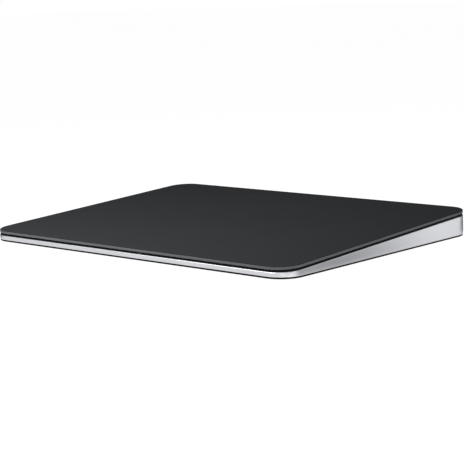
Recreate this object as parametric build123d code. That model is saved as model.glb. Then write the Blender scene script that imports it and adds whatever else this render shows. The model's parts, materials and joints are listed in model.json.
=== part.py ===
from build123d import *
import math
import os

# A wedge-shaped desktop trackpad: a metal housing, low in front and high behind, with a flat
# glass touch plate on top that gives a little under a press and is shaken sideways in answer.
#
# Millimetres and degrees. X points right, Y to the back and Z up. The origin is on the desk,
# under the middle of the housing. The deck is a second frame, tilted with the glass: its origin
# is over the middle of the housing, in the plane of the housing's rim. A height in the deck
# frame is called a level, and is negative inside the housing.

# Housing
WIDTH = 160.0
DEPTH = 114.9
CORNER_RADIUS = 8.9
WALL = 1.5
FLOOR_THICKNESS = 0.7
FRONT_WALL_HEIGHT = 1.75
BACK_WALL_HEIGHT = 7.75
HOUSING_CHAMFER = 0.15

# Bottom cover, glued under the housing, and the feet glued under the cover
COVER_THICKNESS = 0.55
COVER_INSET = 0.1
COVER_CHAMFER = 0.1
FOOT_HEIGHT = 0.55
FOOT_DIAMETER = 9.5
FOOT_ROUND = 0.2
FOOT_SIDE_MARGIN = 14.0
FOOT_END_MARGIN = 13.5

# Touch plate, from the rim up and then down
RIM_GAP = 0.85
GLASS_THICKNESS = 1.2
GLASS_INSET = 0.05
GLASS_TOP_CHAMFER = 0.15
GLASS_BOTTOM_CHAMFER = 0.1
FILM_THICKNESS = 0.1
SENSOR_THICKNESS = 0.5
STIFFENER_THICKNESS = 0.4
PLATE_CLEARANCE = 0.6
PRESS_TRAVEL = 0.25
SHAKE_TRAVEL = 0.15

# Dark seal ring on the rim
GASKET_INSET = 0.25
GASKET_WIDTH = 0.9
GASKET_CLEARANCE = 0.1

# Force beams, one near each corner
GEL_THICKNESS = 0.3
GEL_LENGTH = 4.6
GEL_WIDTH = 5.6
TIP_PLATE_THICKNESS = 0.2
TIP_PLATE_MARGIN = 0.4
BEAM_THICKNESS = 0.4
BEAM_ROOT_THICKNESS = 1.0
BEAM_ROOT_LENGTH = 9.0
BEAM_WIDTH = 8.0
BEAM_NECK_WIDTH = 4.6
BEAM_TIP_LENGTH = 6.0
BEAM_REACH = 20.0
BEAM_SIDE_MARGIN = 14.5
BEAM_FRONT_MARGIN = 20.0
BEAM_WALL_GAP = 0.5
BEAM_GRIP = 0.4
BEAM_SCREW_SPACING = 4.4
GAUGE_LENGTH = 3.6
GAUGE_WIDTH = 2.6
GAUGE_THICKNESS = 0.1

# Screws and the holes that they go through
SCREW_DIAMETER = 1.2
SCREW_HEAD_DIAMETER = 2.2
SCREW_HEAD_HEIGHT = 0.4
SCREW_DRIVE_DIAMETER = 0.9
SCREW_DRIVE_DEPTH = 0.2
SCREW_BITE = 0.7
SCREW_CLEARANCE = 0.1
HEAD_CLEARANCE = 0.15
STANDOFF_RADIUS = 1.6
HOLE_FLOOR_GAP = 0.1

# Haptic engine
TRAY_REST_HEIGHT = 0.4
TRAY_THICKNESS = 0.3
TRAY_LENGTH = 68.0
TRAY_EDGE = 0.95
TRAY_TAB_RADIUS = 2.0
TRAY_TAB_REACH = 1.2
TRAY_TAB_SPACING = 12.0
CORE_THICKNESS = 0.8
CORE_SPINE = 3.0
CORE_LEG_LENGTH = 12.0
CORE_LEG_WIDTH = 3.0
CORE_LEG_SPACING = 9.0
CORE_AIR_GAP = 0.35
COIL_LENGTH = 9.0
COIL_SIDE = 1.5
COIL_WALL = 0.35
COIL_CLEARANCE = 0.02
COIL_SPINE_GAP = 0.5
ARMATURE_DEPTH = 13.0
ARMATURE_GRIP = 0.8
ARMATURE_SCREW_INSET = 3.0
ARMATURE_WINDOW_GAP = 1.0

# Battery
BATTERY_WIDTH = 84.0
BATTERY_DEPTH = 36.0
BATTERY_CORNER = 2.0
BATTERY_ROUND = 0.5
BATTERY_SWELL_GAP = 0.3
STRIP_THICKNESS = 0.15
STRIP_WIDTH = 8.0
STRIP_INSET = 6.0
TAB_THICKNESS = 0.12
TAB_WIDTH = 4.0
TAB_LENGTH = 3.0
TAB_SPACING = 10.0
GUARD_WIDTH = 5.0
GUARD_LENGTH = 28.0
GUARD_GAP = 0.3
GUARD_REST_INSET = 2.5
TAPE_THICKNESS = 0.1
TAPE_LENGTH = 16.0
TAPE_RISE = 1.2
FENCE_THICKNESS = 0.8
FENCE_HEIGHT = 1.2
FENCE_GAP = 0.6

# Flat ribbons
RIBBON_THICKNESS = 0.12
RIBBON_WIDTH = 2.2
RIBBON_GAP = 0.75

# Main board and what it carries
BOARD_THICKNESS = 0.6
BOARD_REST_HEIGHT = 0.9
BOARD_CORNER = 1.2
BOARD_SIDE_GAP = 2.6
BOARD_WALL_GAP = 2.5
BOARD_SCREW_INSET = 3.0
SHIELD_WIDTH = 13.0
SHIELD_DEPTH = 11.0
SHIELD_HEIGHT = 1.4
SHIELD_WALL = 0.2
SHIELD_CORNER = 0.8
SHIELD_VENT_RADIUS = 0.4
SHIELD_VENT_PITCH = 1.8
PROCESSOR_SIZE = 8.0
PROCESSOR_HEIGHT = 0.9
PACKAGE_CHAMFER = 0.1
CONNECTOR_HEIGHT = 1.0
CONNECTOR_DEPTH = 2.4
TOUCH_CONNECTOR_WIDTH = 8.0
BATTERY_CONNECTOR_WIDTH = 3.0
BATTERY_CONNECTOR_LENGTH = 5.0
BATTERY_CONNECTOR_INSET = 1.6
CAPACITOR_LENGTH = 1.6
CAPACITOR_WIDTH = 0.8
CAPACITOR_HEIGHT = 0.7

# Places on the main board, as shares of its width and depth from the front left corner,
# then the width, depth and height of each chip in millimetres
PROCESSOR_SHARE = (0.30, 0.22)
SHIELD_SHARE = (0.70, 0.30)
TOUCH_CONNECTOR_SHARE = (0.36, 0.50)
CAPACITOR_ROW_SHARES = ((0.585, (0.2, 0.3, 0.4, 0.5, 0.6, 0.7, 0.8)), (0.93, (0.2, 0.3, 0.4, 0.5)))
MEMORY_CHIP_SHARE = (0.25, 0.75)
POWER_CHIP_SHARE = (0.50, 0.72)
DRIVER_CHIP_SHARE = (0.75, 0.70)
AMPLIFIER_CHIP_SHARE = (0.60, 0.90)
MEMORY_CHIP_SIZE = (5.0, 6.0, 0.8)
POWER_CHIP_SIZE = (5.0, 5.0, 0.9)
DRIVER_CHIP_SIZE = (4.0, 4.0, 0.9)
AMPLIFIER_CHIP_SIZE = (3.0, 3.0, 0.8)

# Parts under the sensor board, which look through windows in the stiffener
CONTROLLER_SIZE = 8.0
CONTROLLER_HEIGHT = 0.8
CONTROLLER_SHARE = (0.70, 0.72)
PASSIVE_LENGTH = 1.2
PASSIVE_WIDTH = 0.6
PASSIVE_HEIGHT = 0.5
PASSIVE_COUNT = 4
PASSIVE_PITCH = 1.8
PASSIVE_GAP = 1.0
WINDOW_CLEARANCE = 0.8
SENSOR_CONNECTOR_HEIGHT = 0.9
TOUCH_RIBBON_WIDTH = 6.0
TOUCH_RIBBON_REACH = 4.0

# Antenna and its lead
ANTENNA_WIDTH = 6.0
ANTENNA_LENGTH = 18.0
ANTENNA_THICKNESS = 1.0
ANTENNA_WALL_GAP = 1.0
ANTENNA_BEAM_GAP = 1.5
TRACE_WIDTH = 1.0
TRACE_THICKNESS = 0.05
LEAD_DIAMETER = 0.8
LEAD_BEND = 1.6
LEAD_GAP = 0.1
LEAD_RISE_RUN = 3.6
LEAD_LAP = 5.0
PLUG_DIAMETER = 2.4

# Charging socket in the back wall
PORT_MOUTH_WIDTH = 8.34
PORT_MOUTH_HEIGHT = 2.56
PORT_SLEEVE_WALL = 0.3
PORT_LENGTH = 7.2
PORT_RECESS = 0.2
PORT_HOLE_CLEARANCE = 0.1
TONGUE_WIDTH = 6.69
TONGUE_THICKNESS = 0.7
TONGUE_LENGTH = 5.0
TONGUE_CLEARANCE = 0.03
CONTACT_WIDTH = 0.25
CONTACT_THICKNESS = 0.06
CONTACT_LENGTH = 3.6
CONTACT_PITCH = 0.5
CONTACT_COUNT = 12
PORT_BOARD_EDGE = 2.8
PORT_BOARD_DEPTH = 7.3
PORT_SCREW_SPACING = 16.4
PORT_SCREW_SETBACK = 2.4
BRACKET_THICKNESS = 0.3
BRACKET_DEPTH = 4.0
BRACKET_CLEARANCE = 0.05
INNER_GAP = 0.75

# Power switch in the back wall
SWITCH_TRAVEL = 2.0
KNOB_WIDTH = 5.0
KNOB_HEIGHT = 2.0
KNOB_CORNER = 0.5
KNOB_RECESS = 0.15
KNOB_CLEARANCE = 0.1
GROOVE_COUNT = 3
GROOVE_WIDTH = 0.25
GROOVE_PITCH = 0.8
GROOVE_DEPTH = 0.2
CARRIAGE_THICKNESS = 0.7
CARRIAGE_GAP = 0.2
CARRIAGE_LAP = 0.6
MARK_THICKNESS = 0.1
PIN_SIZE = 1.0
PIN_LENGTH = 1.5
PIN_CLEARANCE = 0.1
SWITCH_BLOCK_WIDTH = 7.0
SWITCH_BLOCK_DEPTH = 2.6
SWITCH_BLOCK_HEIGHT = 3.0
SWITCH_BLOCK_GAP = 0.15
SWITCH_BOARD_DEPTH = 4.9
SWITCH_SCREW_INSET = 1.75
SWITCH_STANDOFF_RADIUS = 1.3

# Space between neighbours inside the housing, and how far a cutting body runs past its work
ROW_GAP = 0.5
NEIGHBOUR_GAP = 1.6
OVERRUN = 1.0

# Heights above the desk
HOUSING_BOTTOM = FOOT_HEIGHT + COVER_THICKNESS
FLOOR_TOP = HOUSING_BOTTOM + FLOOR_THICKNESS
RIM_FRONT = HOUSING_BOTTOM + FRONT_WALL_HEIGHT
RIM_BACK = HOUSING_BOTTOM + BACK_WALL_HEIGHT
BACK_WALL_MIDDLE = (HOUSING_BOTTOM + RIM_BACK) / 2
HOLE_FLOOR = HOUSING_BOTTOM + HOLE_FLOOR_GAP
INNER_X = WIDTH / 2 - WALL
INNER_Y = DEPTH / 2 - WALL

# Deck frame and its levels
SLOPE = math.atan2(RIM_BACK - RIM_FRONT, DEPTH)
DECK_HEIGHT = (RIM_FRONT + RIM_BACK) / 2
DECK = Pos(0, 0, DECK_HEIGHT) * Rot(math.degrees(SLOPE), 0, 0)
GLASS_TOP = RIM_GAP + GLASS_THICKNESS
FILM_LEVEL = RIM_GAP - FILM_THICKNESS
SENSOR_LEVEL = FILM_LEVEL - SENSOR_THICKNESS
STIFFENER_LEVEL = SENSOR_LEVEL - STIFFENER_THICKNESS
GEL_LEVEL = STIFFENER_LEVEL - GEL_THICKNESS
BEAM_TOP = GEL_LEVEL - TIP_PLATE_THICKNESS
BEAM_LEVEL = BEAM_TOP - BEAM_THICKNESS
ROOT_LEVEL = BEAM_TOP - BEAM_ROOT_THICKNESS
SEAT_LEVEL = ROOT_LEVEL - BEAM_GRIP


def deck_height(y, level):
    """Height above the desk of a level of the deck, over a place y of the housing."""
    return DECK_HEIGHT + y * math.tan(SLOPE) + level / math.cos(SLOPE)


def deck_y(y, level):
    """The deck's own y for a place y of the housing, at a level."""
    return (y + level * math.sin(SLOPE)) / math.cos(SLOPE)


# Clearance hole and head well of a screw
HOLE_RADIUS = SCREW_DIAMETER / 2 + SCREW_CLEARANCE
WELL_RADIUS = SCREW_HEAD_DIAMETER / 2 + HEAD_CLEARANCE

# Widths of the two small boards at the back wall, which leave room beside their screws
PORT_BOARD_WIDTH = PORT_SCREW_SPACING + 2 * PORT_BOARD_EDGE
PORT_EAR_X = PORT_SCREW_SPACING / 2 + WELL_RADIUS
SWITCH_SCREW_X = SWITCH_BLOCK_WIDTH / 2 + WELL_RADIUS
SWITCH_BOARD_WIDTH = 2 * (SWITCH_SCREW_X + SWITCH_SCREW_INSET)

# Rear row: beams, charging socket and power switch stand side by side behind the battery
BEAM_ROW_DEPTH = BEAM_WALL_GAP + BEAM_WIDTH
PORT_ROW_DEPTH = INNER_GAP + PORT_BOARD_DEPTH
SWITCH_ROW_DEPTH = CARRIAGE_GAP + CARRIAGE_THICKNESS + SWITCH_BLOCK_GAP + SWITCH_BOARD_DEPTH
REAR_ROW_DEPTH = max(BEAM_ROW_DEPTH, PORT_ROW_DEPTH, SWITCH_ROW_DEPTH) + ROW_GAP

BEAM_TIP_X = INNER_X - BEAM_SIDE_MARGIN
BEAM_ROOT_X = BEAM_TIP_X - BEAM_REACH
BEAM_FRONT_Y = BEAM_FRONT_MARGIN - DEPTH / 2
BEAM_BACK_Y = INNER_Y - BEAM_WALL_GAP - BEAM_WIDTH / 2
BEAM_INNER_X = BEAM_ROOT_X - BEAM_ROOT_LENGTH / 2
BEAM_CORNERS = {
    "front_left": (-1, BEAM_FRONT_Y),
    "front_right": (1, BEAM_FRONT_Y),
    "rear_left": (-1, BEAM_BACK_Y),
    "rear_right": (1, BEAM_BACK_Y),
}

# Battery, its guard board and the main board lie side by side
HARNESS_X = RIBBON_WIDTH / 2 + NEIGHBOUR_GAP - INNER_X
BATTERY_LEFT = HARNESS_X + RIBBON_WIDTH / 2 + RIBBON_GAP + FENCE_THICKNESS + FENCE_GAP
BATTERY_RIGHT = BATTERY_LEFT + BATTERY_WIDTH
BATTERY_BACK = INNER_Y - REAR_ROW_DEPTH
BATTERY_FRONT = BATTERY_BACK - BATTERY_DEPTH
BATTERY_X = (BATTERY_LEFT + BATTERY_RIGHT) / 2
BATTERY_Y = (BATTERY_FRONT + BATTERY_BACK) / 2
BATTERY_BOTTOM = FLOOR_TOP + STRIP_THICKNESS
BATTERY_TOP = deck_height(BATTERY_FRONT, STIFFENER_LEVEL) - PRESS_TRAVEL - BATTERY_SWELL_GAP
STRIP_ROW_SHARES = (0.2, 0.8)

BOARD_BOTTOM = FLOOR_TOP + BOARD_REST_HEIGHT
BOARD_TOP = BOARD_BOTTOM + BOARD_THICKNESS
BOARD_LAP = BOARD_SCREW_INSET - STANDOFF_RADIUS - ROW_GAP
GUARD_LEFT = BATTERY_RIGHT + GUARD_GAP
GUARD_RIGHT = GUARD_LEFT + GUARD_WIDTH
BOARD_LEFT = GUARD_RIGHT + BOARD_SIDE_GAP
BOARD_RIGHT = INNER_X - BOARD_WALL_GAP
BOARD_WIDTH = BOARD_RIGHT - BOARD_LEFT
BOARD_X = (BOARD_LEFT + BOARD_RIGHT) / 2

# Haptic engine, in front of the battery and under the middle of the plate
FENCE_FRONT = BATTERY_FRONT - FENCE_GAP - FENCE_THICKNESS
TRAY_DEPTH = CORE_LEG_SPACING + CORE_LEG_WIDTH + 2 * (COIL_SIDE + COIL_CLEARANCE + TRAY_EDGE)
TRAY_Y = FENCE_FRONT - NEIGHBOUR_GAP - TRAY_DEPTH / 2
TRAY_BOTTOM = FLOOR_TOP + TRAY_REST_HEIGHT
TRAY_TOP = TRAY_BOTTOM + TRAY_THICKNESS
TRAY_TAB_X = TRAY_LENGTH / 2 + TRAY_TAB_REACH
CORE_BOTTOM = TRAY_TOP + COIL_WALL + COIL_CLEARANCE
CORE_TOP = CORE_BOTTOM + CORE_THICKNESS
CORE_OUTER_X = TRAY_LENGTH / 2 - TRAY_EDGE
LEG_ROOT_X = CORE_OUTER_X - CORE_SPINE
POLE_X = LEG_ROOT_X - CORE_LEG_LENGTH
COIL_X = LEG_ROOT_X - COIL_SPINE_GAP - COIL_LENGTH / 2
ARMATURE_HALF = POLE_X - CORE_AIR_GAP
ARMATURE_SEAT = STIFFENER_LEVEL - ARMATURE_GRIP

# Harness and antenna, behind the front beams
FRONT_ROW_BACK = BEAM_FRONT_Y + BEAM_WIDTH / 2
CROSS_RUN_Y = FRONT_ROW_BACK + NEIGHBOUR_GAP + RIBBON_GAP + RIBBON_WIDTH / 2
ANTENNA_X = INNER_X - ANTENNA_WALL_GAP - ANTENNA_WIDTH / 2
ANTENNA_FRONT = FRONT_ROW_BACK + ANTENNA_BEAM_GAP
ANTENNA_BACK = ANTENNA_FRONT + ANTENNA_LENGTH
FRONT_RUN_X = BEAM_TIP_X - BEAM_TIP_LENGTH / 2

# Charging socket
SLEEVE_WIDTH = PORT_MOUTH_WIDTH + 2 * PORT_SLEEVE_WALL
SLEEVE_HEIGHT = PORT_MOUTH_HEIGHT + 2 * PORT_SLEEVE_WALL
SLEEVE_BACK = DEPTH / 2 - PORT_RECESS
SLEEVE_FRONT = SLEEVE_BACK - PORT_LENGTH
PORT_BOARD_TOP = BACK_WALL_MIDDLE - SLEEVE_HEIGHT / 2
PORT_BOARD_BOTTOM = PORT_BOARD_TOP - BOARD_THICKNESS
PORT_BOARD_BACK = INNER_Y - INNER_GAP
PORT_BOARD_FRONT = PORT_BOARD_BACK - PORT_BOARD_DEPTH
PORT_SCREW_Y = PORT_BOARD_BACK - PORT_SCREW_SETBACK

# Power switch, midway between the socket's board and the rear right beam
SWITCH_X = (PORT_BOARD_WIDTH / 2 + BEAM_INNER_X) / 2
SLOT_WIDTH = KNOB_WIDTH + SWITCH_TRAVEL + 2 * KNOB_CLEARANCE
SLOT_HEIGHT = KNOB_HEIGHT + 2 * KNOB_CLEARANCE
KNOB_X = SWITCH_X - SWITCH_TRAVEL / 2
CARRIAGE_BACK = INNER_Y - CARRIAGE_GAP
CARRIAGE_FRONT = CARRIAGE_BACK - CARRIAGE_THICKNESS
CARRIAGE_HEIGHT = KNOB_HEIGHT + 2 * CARRIAGE_LAP
SWITCH_BLOCK_BACK = CARRIAGE_FRONT - SWITCH_BLOCK_GAP
SWITCH_BLOCK_FRONT = SWITCH_BLOCK_BACK - SWITCH_BLOCK_DEPTH
SWITCH_BOARD_TOP = BACK_WALL_MIDDLE - SWITCH_BLOCK_HEIGHT / 2
SWITCH_BOARD_BOTTOM = SWITCH_BOARD_TOP - BOARD_THICKNESS
SWITCH_BOARD_FRONT = SWITCH_BLOCK_BACK - SWITCH_BOARD_DEPTH
SWITCH_SCREW_Y = SWITCH_BOARD_FRONT + SWITCH_SCREW_INSET


# Simple bodies

def box_between(first, second):
    """Box between two opposite corners, given in any order."""
    size = [abs(b - a) for a, b in zip(first, second)]
    middle = [(a + b) / 2 for a, b in zip(first, second)]
    return Pos(*middle) * Box(*size)


def block(x, y, width, depth, bottom, top):
    """Upright box around a place, between two heights."""
    return Pos(x, y, (bottom + top) / 2) * Box(width, depth, top - bottom)


def peg(x, y, radius, bottom, top):
    """Upright cylinder between two heights."""
    return Pos(x, y, (bottom + top) / 2) * Cylinder(radius, top - bottom)


def rounded_plate(width, depth, radius, bottom, top, x=0, y=0):
    """Flat plate with rounded corners, between two heights."""
    face = Pos(x, y, bottom) * RectangleRounded(width, depth, radius)
    return extrude(face, amount=top - bottom)


def wall_plate(width, height, radius, front, back, x, z):
    """Upright plate with rounded corners that faces the back, between two places in y."""
    face = Pos(x, back, z) * Rot(90, 0, 0) * RectangleRounded(width, height, radius)
    return extrude(face, amount=back - front)


def cut_above_deck(shape, level):
    """What of a shape lies below a level of the deck."""
    reach = WIDTH + DEPTH
    return shape - DECK * box_between((-reach, -reach, level), (reach, reach, level + reach))


def deck_plate(inset, radius, bottom, top):
    """Plate parallel to the deck that follows the housing's outline, drawn in by an inset."""
    middle = (bottom + top) / 2
    width = WIDTH - 2 * inset
    depth = DEPTH / math.cos(SLOPE) - 2 * inset
    return rounded_plate(width, depth, radius, bottom, top, y=deck_y(0, middle))


def screw(x, y, seat, length, points_up=False):
    """Screw whose head rests on a seat, with a round drive socket, pointing down unless told."""
    head = peg(0, 0, SCREW_HEAD_DIAMETER / 2, 0, SCREW_HEAD_HEIGHT)
    socket = peg(
        0, 0, SCREW_DRIVE_DIAMETER / 2, SCREW_HEAD_HEIGHT - SCREW_DRIVE_DEPTH, SCREW_HEAD_HEIGHT + OVERRUN
    )
    whole = head - socket + peg(0, 0, SCREW_DIAMETER / 2, -length, 0)
    turn = Rot(180, 0, 0) if points_up else Rot(0, 0, 0)
    return Pos(x, y, seat) * turn * whole


def lower_edges(shape):
    """Edges round a shape's lowest face."""
    return shape.faces().sort_by(Axis.Z)[0].edges()


def upper_edges(shape):
    """Edges round a shape's highest face."""
    return shape.faces().sort_by(Axis.Z)[-1].edges()


# Housing, cover and feet

def beam_screw_places():
    """Deck places of the two screws in each beam's root."""
    places = []
    for side, y in BEAM_CORNERS.values():
        for shift in (-BEAM_SCREW_SPACING / 2, BEAM_SCREW_SPACING / 2):
            places.append((side * BEAM_ROOT_X + shift, deck_y(y, ROOT_LEVEL)))
    return places


def board_screw_places():
    """Corners of the main board, drawn in."""
    xs = (BOARD_LEFT + BOARD_SCREW_INSET, BOARD_RIGHT - BOARD_SCREW_INSET)
    ys = (BATTERY_FRONT + BOARD_SCREW_INSET, BATTERY_BACK - BOARD_SCREW_INSET)
    return [(x, y) for x in xs for y in ys]


def tray_screw_places():
    """Tabs at the tray's four corners."""
    ys = (TRAY_Y - TRAY_TAB_SPACING / 2, TRAY_Y + TRAY_TAB_SPACING / 2)
    return [(side * TRAY_TAB_X, y) for side in (-1, 1) for y in ys]


def port_screw_places():
    return [(side * PORT_SCREW_SPACING / 2, PORT_SCREW_Y) for side in (-1, 1)]


def switch_screw_places():
    return [(SWITCH_X + side * SWITCH_SCREW_X, SWITCH_SCREW_Y) for side in (-1, 1)]


def guard_rest_places():
    reach = GUARD_LENGTH / 2 - GUARD_REST_INSET
    return [((GUARD_LEFT + GUARD_RIGHT) / 2, BATTERY_Y + side * reach) for side in (-1, 1)]


def standoffs():
    """Every upright post on the floor: x, y, radius, top and whether a screw goes in."""
    posts = [(x, y, STANDOFF_RADIUS, BOARD_BOTTOM, True) for x, y in board_screw_places()]
    posts += [(x, y, STANDOFF_RADIUS, TRAY_BOTTOM, True) for x, y in tray_screw_places()]
    posts += [(x, y, STANDOFF_RADIUS, PORT_BOARD_BOTTOM, True) for x, y in port_screw_places()]
    posts += [
        (x, y, SWITCH_STANDOFF_RADIUS, SWITCH_BOARD_BOTTOM, True) for x, y in switch_screw_places()
    ]
    posts += [(x, y, STANDOFF_RADIUS, BOARD_BOTTOM, False) for x, y in guard_rest_places()]
    return posts


def housing_tub():
    """Outer wedge with its floor and walls, small chamfers on its outer edges."""
    outer = rounded_plate(WIDTH, DEPTH, CORNER_RADIUS, HOUSING_BOTTOM, RIM_BACK + OVERRUN)
    outer = cut_above_deck(outer, 0)
    outer = chamfer(upper_edges(outer), HOUSING_CHAMFER)
    outer = chamfer(lower_edges(outer), HOUSING_CHAMFER)
    inside = rounded_plate(
        2 * INNER_X, 2 * INNER_Y, CORNER_RADIUS - WALL, FLOOR_TOP, RIM_BACK + 2 * OVERRUN
    )
    return outer - inside


def housing():
    """Metal tub with beam bosses, standoffs, battery fences and the two rear openings."""
    tub = housing_tub()
    for side, y in BEAM_CORNERS.values():
        boss = block(side * BEAM_ROOT_X, y, BEAM_ROOT_LENGTH, BEAM_WIDTH, FLOOR_TOP, RIM_BACK)
        tub += cut_above_deck(boss, ROOT_LEVEL)
    for x, y, radius, top, _ in standoffs():
        tub += peg(x, y, radius, FLOOR_TOP, top)
    tub += battery_fences()
    for x, y, _, top, threaded in standoffs():
        if threaded:
            tub -= peg(x, y, SCREW_DIAMETER / 2, max(HOLE_FLOOR, top - SCREW_BITE), top + OVERRUN)
    for x, y in beam_screw_places():
        tub -= DECK * peg(x, y, HOLE_RADIUS, SEAT_LEVEL, ROOT_LEVEL + OVERRUN)
        tub -= DECK * peg(x, y, WELL_RADIUS, SEAT_LEVEL - BACK_WALL_HEIGHT, SEAT_LEVEL)
    tub -= port_passage()
    tub -= wall_plate(
        SLOT_WIDTH, SLOT_HEIGHT, KNOB_CORNER + KNOB_CLEARANCE,
        INNER_Y - OVERRUN, DEPTH / 2 + OVERRUN, SWITCH_X, BACK_WALL_MIDDLE,
    )
    return tub


def battery_fences():
    """Low ribs that keep the battery in its place, in front and at its left."""
    left = BATTERY_LEFT - FENCE_GAP - FENCE_THICKNESS
    top = FLOOR_TOP + FENCE_HEIGHT
    front_rib = box_between(
        (left, FENCE_FRONT, FLOOR_TOP), (BATTERY_RIGHT, FENCE_FRONT + FENCE_THICKNESS, top)
    )
    left_rib = box_between((left, FENCE_FRONT, FLOOR_TOP), (left + FENCE_THICKNESS, BATTERY_BACK, top))
    return front_rib + left_rib


def port_passage():
    """Hole in the back wall around the charging socket's sleeve."""
    width = SLEEVE_WIDTH + 2 * PORT_HOLE_CLEARANCE
    height = SLEEVE_HEIGHT + 2 * PORT_HOLE_CLEARANCE
    face = Pos(0, DEPTH / 2 + OVERRUN, BACK_WALL_MIDDLE) * Rot(90, 0, 0) * SlotOverall(width, height)
    return extrude(face, amount=WALL + 2 * OVERRUN)


def bottom_cover():
    """Thin plate glued under the housing, which hides the screw wells."""
    plate = rounded_plate(
        WIDTH - 2 * COVER_INSET, DEPTH - 2 * COVER_INSET, CORNER_RADIUS - COVER_INSET,
        FOOT_HEIGHT, HOUSING_BOTTOM,
    )
    return chamfer(lower_edges(plate), COVER_CHAMFER)


def foot(side_x, side_y):
    """Round rubber foot with softened lower edge."""
    x = side_x * (WIDTH / 2 - FOOT_SIDE_MARGIN)
    y = side_y * (DEPTH / 2 - FOOT_END_MARGIN)
    disc = peg(x, y, FOOT_DIAMETER / 2, 0, FOOT_HEIGHT)
    return fillet(lower_edges(disc), FOOT_ROUND)


def rim_gasket():
    """Dark ring that lies on the rim, just inside its edge."""
    top = RIM_GAP - PRESS_TRAVEL - GASKET_CLEARANCE
    outer = deck_plate(GASKET_INSET, CORNER_RADIUS - GASKET_INSET, 0, top)
    inset = GASKET_INSET + GASKET_WIDTH
    inner = deck_plate(inset, CORNER_RADIUS - inset, -OVERRUN, top + OVERRUN)
    return DECK * (outer - inner)


# Touch plate

def touch_glass():
    """Ground glass plate with a fine polished edge."""
    plate = deck_plate(GLASS_INSET, CORNER_RADIUS - GLASS_INSET, RIM_GAP, GLASS_TOP)
    plate = chamfer(upper_edges(plate), GLASS_TOP_CHAMFER)
    plate = chamfer(lower_edges(plate), GLASS_BOTTOM_CHAMFER)
    return DECK * plate


def inner_plate(bottom, top):
    """Plate under the glass that clears the housing's walls."""
    inset = WALL + PLATE_CLEARANCE
    return deck_plate(inset, CORNER_RADIUS - inset, bottom, top)


def on_board(share):
    """Place on the main board, from shares of its width and depth."""
    return BOARD_LEFT + share[0] * BOARD_WIDTH, BATTERY_FRONT + share[1] * BATTERY_DEPTH


def controller_window():
    """Width and depth of the stiffener's window round the controller and its small parts."""
    column = PASSIVE_GAP + PASSIVE_LENGTH
    return CONTROLLER_SIZE + 2 * (column + WINDOW_CLEARANCE), CONTROLLER_SIZE + 2 * WINDOW_CLEARANCE


def stiffener_plate():
    """Thin steel plate under the sensor board, with windows and threaded holes."""
    plate = inner_plate(STIFFENER_LEVEL, SENSOR_LEVEL)
    windows = (
        (CONTROLLER_SHARE, controller_window()),
        (
            TOUCH_CONNECTOR_SHARE,
            (TOUCH_CONNECTOR_WIDTH + 2 * WINDOW_CLEARANCE, CONNECTOR_DEPTH + 2 * WINDOW_CLEARANCE),
        ),
    )
    for share, (width, depth) in windows:
        x, y = on_board(share)
        plate -= block(
            x, deck_y(y, SENSOR_LEVEL), width, depth, STIFFENER_LEVEL - OVERRUN, SENSOR_LEVEL + OVERRUN
        )
    for x, y in armature_screw_places():
        plate -= peg(x, y, SCREW_DIAMETER / 2, STIFFENER_LEVEL - OVERRUN, SENSOR_LEVEL + OVERRUN)
    return DECK * plate


def touch_controller():
    """Chip that reads the touch sensor, under the sensor board."""
    x, y = on_board(CONTROLLER_SHARE)
    size = CONTROLLER_SIZE
    chip = block(x, deck_y(y, SENSOR_LEVEL), size, size, SENSOR_LEVEL - CONTROLLER_HEIGHT, SENSOR_LEVEL)
    return DECK * chamfer(lower_edges(chip), PACKAGE_CHAMFER)


def sensor_passives():
    """Two columns of small parts beside the touch controller."""
    x, y = on_board(CONTROLLER_SHARE)
    reach = CONTROLLER_SIZE / 2 + PASSIVE_GAP + PASSIVE_LENGTH / 2
    middle = (PASSIVE_COUNT - 1) / 2
    parts = []
    for side in (-1, 1):
        for index in range(PASSIVE_COUNT):
            place_y = deck_y(y, SENSOR_LEVEL) + (index - middle) * PASSIVE_PITCH
            parts.append(
                DECK * block(
                    x + side * reach, place_y, PASSIVE_LENGTH, PASSIVE_WIDTH,
                    SENSOR_LEVEL - PASSIVE_HEIGHT, SENSOR_LEVEL,
                )
            )
    return parts


def sensor_connector():
    """Ribbon connector under the sensor board."""
    x, y = on_board(TOUCH_CONNECTOR_SHARE)
    return DECK * block(
        x, deck_y(y, SENSOR_LEVEL), TOUCH_CONNECTOR_WIDTH, CONNECTOR_DEPTH,
        SENSOR_LEVEL - SENSOR_CONNECTOR_HEIGHT, SENSOR_LEVEL,
    )


def armature_screw_places():
    """Deck places of the screws that hold the armature under the stiffener."""
    reach_x = ARMATURE_HALF - ARMATURE_SCREW_INSET
    reach_y = ARMATURE_DEPTH / 2 - ARMATURE_SCREW_INSET
    y = deck_y(TRAY_Y, ARMATURE_SEAT)
    return [(a * reach_x, y + b * reach_y) for a in (-1, 1) for b in (-1, 1)]


def haptic_armature():
    """Steel bar under the stiffener that the two cores pull from side to side."""
    bar = block(0, TRAY_Y, 2 * ARMATURE_HALF, ARMATURE_DEPTH, CORE_BOTTOM, RIM_BACK)
    bar = cut_above_deck(bar, STIFFENER_LEVEL)
    for x, y in armature_screw_places():
        bar -= DECK * peg(x, y, HOLE_RADIUS, ARMATURE_SEAT, STIFFENER_LEVEL + OVERRUN)
        bar -= DECK * peg(x, y, WELL_RADIUS, ARMATURE_SEAT - BACK_WALL_HEIGHT, ARMATURE_SEAT)
    return bar


def armature_screws():
    """Screws from below, through the armature into the stiffener."""
    length = ARMATURE_GRIP + STIFFENER_THICKNESS
    return [DECK * screw(x, y, ARMATURE_SEAT, length, points_up=True) for x, y in armature_screw_places()]


# Force beams and what rests on them

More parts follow.
